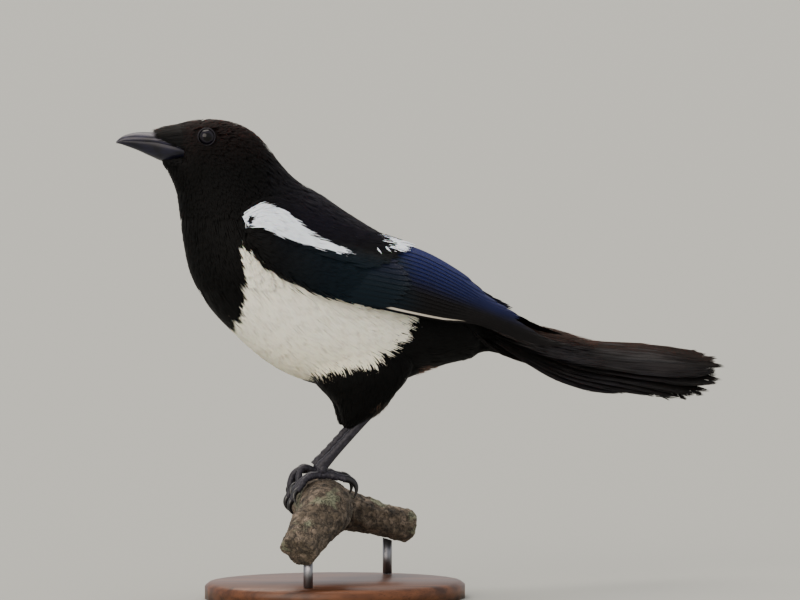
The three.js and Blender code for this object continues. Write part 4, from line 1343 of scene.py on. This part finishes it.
def buildWing(name):
    sheet = wingSheets[name]
    made = VaneSet()
    count = len(wing["remigesTo"])
    spacing = 1 / count
    for k, to in enumerate(wing["remigesTo"]):
        q = np.linspace(0, 1, 26)
        row = mix(wing["remigesFrom"], to, q)
        left = to - row
        wide = np.interp(left, *wing["remigesShape"])
        stations = np.stack([row, wide, 0 * row], -1)
        middle = (k + 0.5) * spacing
        top, bottom = vaneGrid(
            sheet, stations, lambda r: np.full(r.shape, middle), 1.25 * spacing,
            wing["remigesOut"], wing["layer"] * 1.25, 16, 0.06, wing["thick"],
        )
        share = k / (count - 1)

        def colour(q, e, share=share, k=k):
            upper = mix(tint["blue"], tint["deepBlue"], np.clip(share * 1.6, 0, 1))
            web = mix(upper, tint["brownBlack"], smoothStep(0.35, 0.65, share))
            # greener where they come out from under the coverts
            green = smoothStep(0.32, 0.12, q) * smoothStep(0.02, 0.2, share)
            result = mix(web, tint["teal"], green[..., None])
            # darker along one edge of each feather
            result = mix(result, tint["shaftAndEdgeDark"], (0.75 * smoothStep(0.78, 0.94, e))[..., None])
            if k == count - 2:
                pale = (e > 0.36) & (e < 0.74) & (q > 0.12) & (q < 0.62 - 0.25 * e)
                result = np.where(pale[..., None], tint["primaryWhite"], result)
            return result

        made.add(top, bottom, colour, (0.1, 0.014), (k / (count + 1), 0.02, 0.9 / (count + 1), 0.6))
    coverts = len(wing["covertsTo"])
    upper, lower = wing["covertsAt"]
    step = (lower - upper) / (coverts - 1)
    for k, to in enumerate(wing["covertsTo"]):
        q = np.linspace(0, 1, 14)
        row = mix(wing["covertsFrom"], to, q)
        wide = np.interp(q, *wing["covertsShape"])
        stations = np.stack([row, wide, 0 * row], -1)
        middle = upper + k * step
        top, bottom = vaneGrid(
            sheet, stations, lambda r: np.full(r.shape, middle), 0.95 * step,
            wing["covertsOut"], 0.25, 6, 0.06, wing["thick"],
        )

        def colour(q, e, k=k):
            blue = np.clip(1.2 - 2.5 * k / coverts, 0, 1) * q
            result = mix(tint["teal"], tint["deepBlue"], blue[..., None])
            # darker towards the edges
            return mix(result, tint["shaftAndEdgeDark"], (0.3 * np.abs(e) ** 3)[..., None])

        made.add(top, bottom, colour, (0.035, 0.01), (k / (coverts + 1), 0.66, 0.9 / (coverts + 1), 0.3))
    made.finish("wing_feathers_" + name, wingMaterial, ("wing_" + name,), "wing_feathers")


for name in sides:
    buildWing(name)
    buildScapulars(name)

# Tail: twelve long feathers, each pair under the one inside it, with worn tips

tail = {
    "lengths": [187, 182, 172, 157, 140, 118],
    "vaneTo": 0.93,  # share of the length that the closed vane reaches; its barbs go on
    "halfWidths": [12, 11, 10.5, 10, 9.5, 9],
    "rootStep": 1.6,
    "fan": {"l": math.radians(1.2), "r": math.radians(0.6)},
    "rootAt": 26,
    "out": 2.8,
    "layer": 0.85,
    "layers": {"l": [0, 2, 4, 5, 6, 7], "r": [1, 3, 4, 5, 6, 7]},
    "thick": 0.32,
}
# share of a feather's length, share of its width
tailShape = ([0, 0.16, 0.38, 0.62, 0.8, 0.9, 0.96, 1], [0.36, 0.56, 0.82, 1, 0.86, 0.6, 0.34, 0.07])


def featherLine(along, name, side, k):
    # how far a feather's middle lies from the tail's, with the tips spread a little more
    fan = (along - tail["rootAt"]) * math.sin(tail["fan"][name]) + 0.05 * np.maximum(along - 120, 0)
    return -side * (k + 0.5) * (tail["rootStep"] + fan)


def tailWave(q, k):
    # how a feather's vane rises and falls along it
    return 0.45 * np.sin(q * 9 + k) * np.clip(q, 0, 1)


def buildTail():
    rng = np.random.default_rng(23)
    made = VaneSet()
    for name, side in sides.items():
        for k, length in enumerate(tail["lengths"]):
            q = np.linspace(0, 1, 48)
            s = mix(tail["rootAt"], mix(tail["rootAt"], length, tail["vaneTo"]), q)
            wide = np.interp(q, *tailShape) * (1 + 0.05 * rng.normal(0, 1, len(q)) * smoothStep(0.6, 1, q))
            wave = tailWave(q, k)
            stations = np.stack([s, wide, wave], -1)

            def centre(r, name=name, side=side, k=k):
                return featherLine(r, name, side, k)

            top, bottom = vaneGrid(
                tailPoint, stations, centre, tail["halfWidths"][k],
                tail["out"] - tail["layer"] * tail["layers"][name][k], 0, 10, 0.2, tail["thick"],
            )

            def colour(q, e, k=k):
                purple = 0.5 + 0.5 * np.sin(q * 5 + k)
                result = mix(tint["tailBlack"], tint["tailPurple"], purple[..., None])
                result = mix(result, tint["bronze"], (smoothStep(0.2, 1, q) * 0.7 * (k < 2))[..., None])
                return mix(result, tint["shaftAndEdgeDark"], (0.8 * np.exp(-((e / 0.1) ** 2)))[..., None])

            index = k + (6 if side > 0 else 0)
            made.add(
                top, bottom, colour, (length * mm, 2 * tail["halfWidths"][k] * mm),
                (index / 13, 0.02, 0.9 / 13, 0.95),
            )
    made.finish("tail_feathers", tailMaterial, ("tail",), "tail_feathers")


buildTail()

# Barbs: long fine strands over each tail feather that fray past its tip

strand = {
    "every": 13,  # mm along a feather
    "across": 9,
    "length": 58,
    "tuft": (0, 0, 6, 1.5, 0.26, 0.06),  # as in coat
    "clumps": 3,  # pointed bunches that each feather's end frays into
    "above": 0.12,
    "underSteps": 6,
}
# upper edge of the folded tail in the picture, x and z: its brown lies along it, partly wear and partly a
# painted sheen where light falls on the tail's top
wearAndSheenEdge = ([100, 125, 145, 170, 190, 216], [146, 145, 142.5, 139.5, 137, 132.5])


def tailTint(tips, along, inner):
    # brown along the upper edge of the folded tail as the camera sees it, partly wear and partly a painted
    # sheen where light falls on the top, purple black below
    count = len(tips)
    x, z = inPicture(tips)
    wearAndSheen = smoothStep(8, 1, np.interp(x, *wearAndSheenEdge) - z) * smoothStep(30, 60, along)
    wearAndSheen = wearAndSheen * mix(1, 0.4, smoothStep(150, 185, along))
    result = np.tile(tint["tailBlack"], (count, 1))
    result = mix(result, tint["tailPurple"], (0.5 + 0.5 * np.sin(along * 0.09 + inner))[:, None])
    return mix(result, tint["wearAndSheen"], (0.55 * wearAndSheen)[:, None])


def sheetFrame(surface, along, across, out):
    # points on a sheet with their side and outward directions
    path = surface(along, across, out)
    outward = unit(surface(along, across, out + 1) - path)
    forward = unit(surface(along + 0.5, across, out) - path)
    return path, unit(np.cross(forward, outward)), outward


def buildStrands():
    rng = np.random.default_rng(53)
    made = Coat()
    for name, side in sides.items():
        for k, length in enumerate(tail["lengths"]):
            level = tail["out"] - tail["layer"] * tail["layers"][name][k]
            index = k + (6 if side > 0 else 0)
            for face, count in ((1, strand["across"]), (-1, strand["underSteps"])):
                starts = np.arange(tail["rootAt"] + 2, length - 6, strand["every"])
                s, e = (part.ravel() for part in np.meshgrid(starts, np.linspace(-0.86, 0.86, count)))
                s = s + rng.uniform(-3.5, 3.5, len(s))
                e = e + rng.uniform(-0.1, 0.1, len(s))
                # the bunch that a strand belongs to draws its end in, and the middle ones reach furthest
                clumps = strand["clumps"]
                bunch = (np.floor((e + 1) / 2 * clumps * 0.999) + 0.5) / clumps * 2 - 1
                past = rng.uniform(-2, 3, len(s)) - 12 * np.abs(e - bunch) - 14 * bunch**2
                reach = np.minimum(strand["length"] * rng.uniform(0.8, 1.15, len(s)), length - s + past)
                reach = np.maximum(reach, 5)
                along = s[:, None] + reach[:, None] * pathSteps
                q = (along - tail["rootAt"]) / (length - tail["rootAt"])
                wide = np.maximum(np.interp(q, *tailShape), 0.4 * smoothStep(0.6, 0.9, q))
                drawn = mix(e[:, None], bunch[:, None], 0.8 * smoothStep(0.84, 1.0, q))
                across = featherLine(along, name, side, k) + tail["halfWidths"][k] * wide * drawn
                above = strand["above"] if face > 0 else -tail["thick"] - strand["above"]
                out = level + tailWave(q, k) + above
                path, sideways, outward = sheetFrame(tailPoint, along, across, out)
                maps = np.stack([index / 13 + 0.035 + 0.03 * e, 0.02 + 0.95 * np.clip(q[:, 0], 0, 1)], -1)

                def colourOf(tips, tuft, along=along[:, 3], k=k):
                    return tailTint(tips, along[tuft], k)

                outward = outward * face
                made.add(path, sideways, outward, strand["tuft"], rng, colourOf, maps, 0.3, 0.1, (0.7, 1.3))
    made.finish("tail_barbs", "tail_feathers")


# soft coverts over and under the tail's root: along, across, height, length, tuft as in coat
tailCovert = {
    "over": ((6, 76), 8.5, 4.6, 34, (0, 0, 9, 2.4, 0.4, 0.3)),
    "under": ((4, 50), 8.5, -10.6, 28, (0, 0, 9, 2.6, 0.45, 0.3)),
    "spacing": 2.8,
    "heap": 5.2,
}


def buildTailCoverts():
    rng = np.random.default_rng(59)
    made = Coat()
    for face, key in ((1, "over"), (-1, "under")):
        (low, high), wide, height, length, tuft = tailCovert[key]
        spacing = tailCovert["spacing"]
        places = np.meshgrid(np.arange(low, high, spacing), np.arange(-wide, wide, spacing))
        along, across = (part.ravel() for part in places)
        along = along + rng.uniform(-1.4, 1.4, len(along))
        across = across + rng.uniform(-1.2, 1.2, len(along))
        steps = along[:, None] + length * rng.uniform(0.8, 1.15, (len(along), 1)) * pathSteps
        fall = smoothStep(32, 82, steps)
        rest = tail["out"] + 0.7 if face > 0 else tail["out"] - 8 * tail["layer"]
        out = mix(height, rest, fall) - face * 0.03 * across[:, None] ** 2 * (1 - fall)
        if face > 0:
            # they pile up on the tail's upper side, behind the wing tips
            heap = smoothStep(24, 46, steps) * smoothStep(118, 66, steps)
            out = out + tailCovert["heap"] * (heap * smoothStep(4, -8, across)[:, None])
        path, sideways, outward = sheetFrame(tailPoint, steps, across[:, None] * (1 + 0.1 * fall), out)
        maps = np.stack([0.66 + 0.012 * (across + 9), 0.475 + 0.0006 * along], -1)

        def colourOf(tips, tuft, reach=steps[:, 3]):
            return tailTint(tips, reach[tuft], 0)

        made.add(path, sideways, outward * face, tuft, rng, colourOf, maps, 2.2, 0.1, (0.7, 1.3))
    made.finish("tail_coverts", "tail_feathers")


buildStrands()
buildTailCoverts()

# Legs: shanks with scutes down the front, toes with pads and scutes, and hooked claws

leg = {
    "top": (21.6, 13.6, 106.7),
    "foot": (-8.3, 12, 73.4),
    "deep": 2.45,
    "wide": 1.85,
    "swell": 0.3,  # at both joints
    "scutes": 9,
    "rise": 0.34,
}
perchTop = {"x": -7, "z": 50.5, "radius": 16.3, "root": 2.0}
# goes back, spread in degrees, length, claw length, radius, scutes
toes = {
    "hallux": (True, 4, 14, 12, 2.15, 6),
    "inner": (False, -21, 17, 8, 1.85, 7),
    "middle": (False, 0, 24, 9, 2.0, 10),
    "outer": (False, 21, 18.5, 8, 1.85, 8),
}
toeArch = {"l": 1.2, "r": 4.4}  # how far the toes lift off the perch between its top and their tips


def tubeGrid(path, radii):
    # rings round a path; radii is (rings, around), the first of each ring on the outer side
    tangent = unit(np.gradient(path, axis=0))
    side = unit(np.array([0, 1, 0]) - tangent * tangent[:, 1:2])
    up = np.cross(tangent, side)
    turn = turnAngles(radii.shape[1])
    return (
        path[:, None]
        + up[:, None] * (radii * np.cos(turn))[..., None]
        + side[:, None] * (radii * np.sin(turn))[..., None]
    )


def plates(q, count, rise):
    # height of overlapping scutes along a limb: each grows to its free edge and drops
    f = (q * count) % 1
    return rise * smoothStep(0, 0.75, f) * (1 - smoothStep(0.86, 1.0, f))


def shankGrid(side):
    top, foot = onSide(leg["top"], side), onSide(leg["foot"], side)
    q = np.linspace(-0.04, 1.05, 110)
    path = top + (foot - top) * q[:, None]
    turn = turnAngles(20)
    swell = 1 + leg["swell"] * np.abs(2 * np.clip(q, 0, 1) - 1)[:, None] ** 3
    oval = 1 / np.sqrt((np.cos(turn) / leg["deep"]) ** 2 + (np.sin(turn) / leg["wide"]) ** 2)
    front = np.clip(-np.cos(turn) + 0.1, 0, 1) ** 0.6
    hollow = 1 - 0.1 * np.exp(-((np.cos(turn) - 0.35) ** 2) / 0.05)
    return tubeGrid(path, oval * hollow * swell + plates(q, leg["scutes"], leg["rise"])[:, None] * front)


def onPerch(angle, y, out):
    reach = perchTop["radius"] + out
    x, z = perchTop["x"] - reach * np.sin(angle), perchTop["z"] + reach * np.cos(angle)
    return np.stack([x, y + 0 * angle, z], -1)


def toePoint(side, toe, distance, out):
    back, spread = toes[toe][:2]
    turn = math.radians(spread) * side
    start = (perchTop["x"] - leg["foot"][0]) / perchTop["radius"]
    forward = (-1 if back else 1) * math.cos(turn)
    angle = start + forward * distance / (perchTop["radius"] + perchTop["root"])
    return onPerch(angle, side * leg["foot"][1] + distance * math.sin(turn), out)


def toeHeight(name, toe, q):
    back, _, _, _, radius, _ = toes[toe]
    arch = toeArch[name] * np.sin(np.pi * np.minimum(q * 1.15, 1)) ** 2
    lift = 1.1 * smoothStep(0.5, 1, q) if back else arch
    return mix(perchTop["root"], radius, q) + lift


def toeGrid(name, side, toe):
    back, _, length, _, radius, scutes = toes[toe]
    q = np.linspace(0, 1, 9 * scutes)
    path = toePoint(side, toe, q * length, toeHeight(name, toe, q))
    turn = turnAngles(18)
    upper = np.cos(turn) * (-1 if back else 1)
    top = np.clip(upper + 0.25, 0, 1) ** 0.7
    under = np.clip(-upper + 0.2, 0, 1)
    joints = 1 + 0.09 * np.cos(q * (2 if back else 3) * 2 * np.pi)[:, None]
    pads = 1 + 0.1 * under * np.sin(q * np.pi * scutes / 2)[:, None] ** 2
    body = radius * mix(1.02, 0.8, q)[:, None] * pads
    close = np.sqrt(np.clip(1 - ((q - 0.9) / 0.11).clip(0, 1) ** 2, 0.12, 1))[:, None]
    return tubeGrid(path, (body * joints + plates(q, scutes, 0.28)[:, None] * top) * close)


def clawGrid(name, side, toe):
    back, _, length, claw, radius, _ = toes[toe]
    q = np.linspace(0, 1, 26)
    start = float(toeHeight(name, toe, np.array(1.0)))
    hook = 2.8 if back else 1.5
    out = start * np.cos(np.pi / 2 * q) + hook * np.sin(np.pi * q) * 0.8 + 0.2
    path = toePoint(side, toe, length - 1.2 + claw * q, out)
    thick = mix(radius * (1.0 if back else 0.9), 0.14, q**1.5)
    oval = 1 - 0.26 * np.abs(np.sin(turnAngles(14)))
    return tubeGrid(path, thick[:, None] * oval)


def jointGrid(side):
    # the ball of the foot, under the shank's end
    heel = onSide(leg["foot"], side)
    base = toePoint(side, "middle", 0.0, perchTop["root"] - 0.2)
    q = np.linspace(0, 1, 16)
    path = mix(heel + np.array([0.7, 0, 0.9]), base, q[:, None])
    turn = turnAngles(20)
    size = 2.9 * np.sqrt(np.clip(np.sin(np.pi * mix(0.18, 0.9, q)), 0.05, 1))
    return tubeGrid(path, size[:, None] * (1 + 0.04 * np.cos(5 * turn) * np.sin(q[:, None] * 9)))


def buildLegs():
    for name, side in sides.items():
        grids = [shankGrid(side), jointGrid(side)] + [toeGrid(name, side, toe) for toe in toes]
        loftPiece("leg_" + name, grids, legScale, ("shank_" + name, "foot_" + name))
        for toe in toes:
            node = f"claw_{name}_{toe}"
            loftPiece("hooked_" + node, [clawGrid(name, side, toe)], clawHorn, (node,))


# Eyelids: a thin beaded ring round each eye

lid = {"radius": 4.62, "tube": 0.36, "out": 3.0, "beads": 40, "facing": (-0.12, 1.0, 0.05)}


def buildLids():
    turn, circle = turnAngles(160), turnAngles(10)
    tube = lid["tube"] * (1 + 0.18 * np.sin(turn * lid["beads"]))[:, None]
    for name, side in sides.items():
        outward = unit(onSide(lid["facing"], side))
        first = unit(np.cross(outward, [0, 0, 1.0]))
        second = np.cross(outward, first)
        middle = onSide([eyes["x"], eyes["y"], eyes["z"]], side) + outward * lid["out"]
        spoke = np.cos(turn)[:, None] * first + np.sin(turn)[:, None] * second
        points = (
            middle
            + spoke[:, None] * (lid["radius"] + tube * np.cos(circle))[..., None]
            + outward * (tube * np.sin(circle))[..., None]
        )
        faces = loftFaces(len(turn), len(circle), True)
        makePiece("eyelid_" + name, points.reshape(-1, 3), faces[:, ::side], lidSkin)


# Bill: both halves with finer sections, almost closed on each other

bill = {"rings": 60, "around": 33, "gap": 0.05}


def billGrid(upper):
    place = np.linspace(0, len(billRows) - 1, bill["rings"])
    x, culmen, edge, under, half = rowAt(billRows, place).T
    outline = rowAt(billSection, np.linspace(0, len(billSection) - 1, bill["around"]))
    flat = [[w, 0] for w in (-0.9, -0.5, 0, 0.5, 0.9)]
    wide, tall = np.vstack([outline, flat]).T
    mouth = edge + (bill["gap"] if upper else -bill["gap"])
    z = mix(mouth[:, None], (culmen if upper else under)[:, None], np.maximum(tall, 0))
    return np.stack([x[:, None] + 0 * wide, half[:, None] * wide, z], -1)


def buildBill():
    loftPiece("upper_bill", [billGrid(True)], upperHorn, ("bill_upper",))
    loftPiece("lower_bill", [billGrid(False)], shadedLowerHorn, ("bill_lower",))


# Eyes, perch and stand keep their CAD solids and are finished here; the eyes and the perch are rounded


def finishNode(name, material, levels=2):
    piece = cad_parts[name]
    piece.data.materials.clear()
    piece.data.materials.append(material)
    piece.data.polygons.foreach_set("use_smooth", np.ones(len(piece.data.polygons), bool))
    piece.modifiers.new("weld", "WELD").merge_threshold = 0.02 * mm
    if levels:
        rounding = piece.modifiers.new("rounding", "SUBSURF")
        rounding.levels = levels
        rounding.render_levels = levels


def grainMaterial(name, colours, roughness, grain, stretch=(1, 1, 1), relief=0.2, specular=0.5):
    # noise between two colours, its grain and relief in mm, drawn out along an axis by less than 1
    material, tree, shader = newMaterial(name)
    place = addNode(tree, "ShaderNodeTexCoord").outputs["Object"]
    drawn = addNode(tree, "ShaderNodeMapping", {0: place, "Scale": stretch})
    noise = addNode(tree, "ShaderNodeTexNoise", {0: drawn, "Scale": 1000 / grain, "Detail": 5.0})
    ramp = addRamp(tree, noise, zip((0.35, 0.7), colours))
    addBump(tree, shader, noise, 0.4, relief)
    setSurface(tree, shader, ramp.outputs[0], roughness, specular)
    return material


def eyeMaterial():
    # Wet cornea over a dark brown iris, with a blue violet painted reflection mixed into the iris ring:
    # almost black, with one soft clear reflection.
    material, tree, shader = newMaterial("wet_cornea")
    place = addNode(tree, "ShaderNodeTexCoord").outputs["Object"]

    def calc(operation, *parts):
        return addNode(tree, "ShaderNodeVectorMath", dict(enumerate(parts)), operation=operation)

    offset = calc("SUBTRACT", place, (eyes["x"] * mm, 0, eyes["z"] * mm))
    size = calc("LENGTH", calc("MULTIPLY", offset, (1, 0, 1))).outputs["Value"]
    share = addNode(tree, "ShaderNodeMath", {0: size, 1: eyes["radius"] * mm}, operation="DIVIDE")
    # painted reflection: the iris ring's blue violet stands in for the eye's reflection
    stops = [(0.0, "#020202"), (0.4, "#020202"), (0.46, "#16131c"), (0.68, "#0c0a10"), (0.78, "#040304")]
    setSurface(tree, shader, addRamp(tree, share, stops).outputs[0], 0.06, 0.22)
    return material


def barkMaterial():
    # Old conifer bark: grey brown scales parted by dark cracks, with pale lichen on them.
    material, tree, shader = newMaterial("conifer_bark")
    place = addNode(tree, "ShaderNodeTexCoord").outputs["Object"]
    noise = addNode(tree, "ShaderNodeTexNoise", {0: place, "Scale": 220.0, "Detail": 8.0})
    bend = addNode(
        tree, "ShaderNodeMix", {0: 0.02, 4: place, 5: noise.outputs["Color"]}, data_type="VECTOR"
    ).outputs[1]
    cracks = addNode(tree, "ShaderNodeTexVoronoi", {0: bend, "Scale": 190.0}, feature="DISTANCE_TO_EDGE")
    tone = addRamp(tree, noise, [(0.3, "#29231e"), (0.5, "#504639"), (0.7, "#77695b")])
    spread = addNode(tree, "ShaderNodeTexNoise", {0: place, "Scale": 70.0, "Detail": 6.0})
    patch = addNode(tree, "ShaderNodeMapRange", {0: spread, 1: 0.6, 2: 0.68})
    lichen = addNode(tree, "ShaderNodeMix", {0: patch, 6: tone, 7: toLinear("#6e715c")}, data_type="RGBA")
    edge = addNode(tree, "ShaderNodeMapRange", {0: cracks, 1: 0.0, 2: 0.09, 3: 0.25, 4: 1.0})
    height = addNode(tree, "ShaderNodeMath", {0: edge, 1: 0.8, 2: noise}, operation="MULTIPLY_ADD")
    addBump(tree, shader, height, 0.8, 0.9)
    setSurface(tree, shader, multiply(tree, lichen.outputs[2], edge), 0.9)
    return material


def woodMaterial():
    # Stained beech: fine long pores over broad soft bands of grain, under thin varnish.
    material, tree, shader = newMaterial("stained_beech")
    place = addNode(tree, "ShaderNodeTexCoord").outputs["Object"]
    drawn = addNode(tree, "ShaderNodeMapping", {0: place, "Scale": (0.12, 1.0, 1.0)})
    grain = {0: drawn, "Scale": 120.0, "Detail": 6.0, "Distortion": 0.6}
    tone = addRamp(tree, addNode(tree, "ShaderNodeTexNoise", grain), [(0.35, "#3a2114"), (0.68, "#6a4128")])
    pores = addNode(tree, "ShaderNodeTexNoise", {0: drawn, "Scale": 1500.0, "Detail": 2.0})
    depth = addNode(tree, "ShaderNodeMapRange", {0: pores, 1: 0.3, 2: 0.45, 3: 0.6, 4: 1.0})
    setSurface(tree, shader, multiply(tree, tone, depth), 0.38, 0.3)
    return material


upperHorn = grainMaterial("upper_bill_horn", ("#11101b", "#23213a"), 0.33, 2.5, (0.25, 1, 1), 0.1, 0.4)
# painted shade: both halves are the same black horn, and the lower one is painted darker because it faces
# down, away from the light
shadedLowerHorn = grainMaterial("lower_bill_horn_shaded", ("#0a0a14", "#171729"), 0.38, 2.5, (0.25, 1, 1), 0.1, 0.28)
legScale = grainMaterial("leg_scale_keratin", ("#141319", "#302e38"), 0.5, 1.0, specular=0.3)
clawHorn = grainMaterial("claw_horn", ("#08080a", "#161519"), 0.28, 2)
lidSkin = grainMaterial("bare_lid_skin", ("#0f0e13", "#1d1b25"), 0.55, 0.8, specular=0.25)
steel = grainMaterial("brushed_steel_rod", ("#7c7c80", "#8f8f94"), 0.4, 1, (1, 1, 0.05))
steel.node_tree.nodes["Principled BSDF"].inputs["Metallic"].default_value = 1.0

buildLegs()
buildLids()
print("legs, claws and eyelids done")

# bark: kind of noise, size of its grain and depth, in mm
barkRelief = [("CLOUDS", 9, 1.5), ("VORONOI", 4.5, 1.3), ("CLOUDS", 1.6, 0.7)]


def roughenBark():
    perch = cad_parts["perch"]
    for index, (kind, size, depth) in enumerate(barkRelief):
        grain = bpy.data.textures.new(f"bark_grain_{index}", kind)
        grain.noise_scale = size * mm
        relief = perch.modifiers.new(f"bark_relief_{index}", "DISPLACE")
        relief.texture = grain
        relief.texture_coords = "LOCAL"
        relief.strength = depth * mm
        relief.mid_level = 0.6


buildBill()
eyeball = eyeMaterial()
for name in sides:
    finishNode("eye_" + name, eyeball)
finishNode("perch", barkMaterial(), 4)
roughenBark()
finishNode("stand_base", woodMaterial(), 0)
for name in ("stand_rod_1", "stand_rod_2"):
    finishNode(name, steel, 0)

print("done")
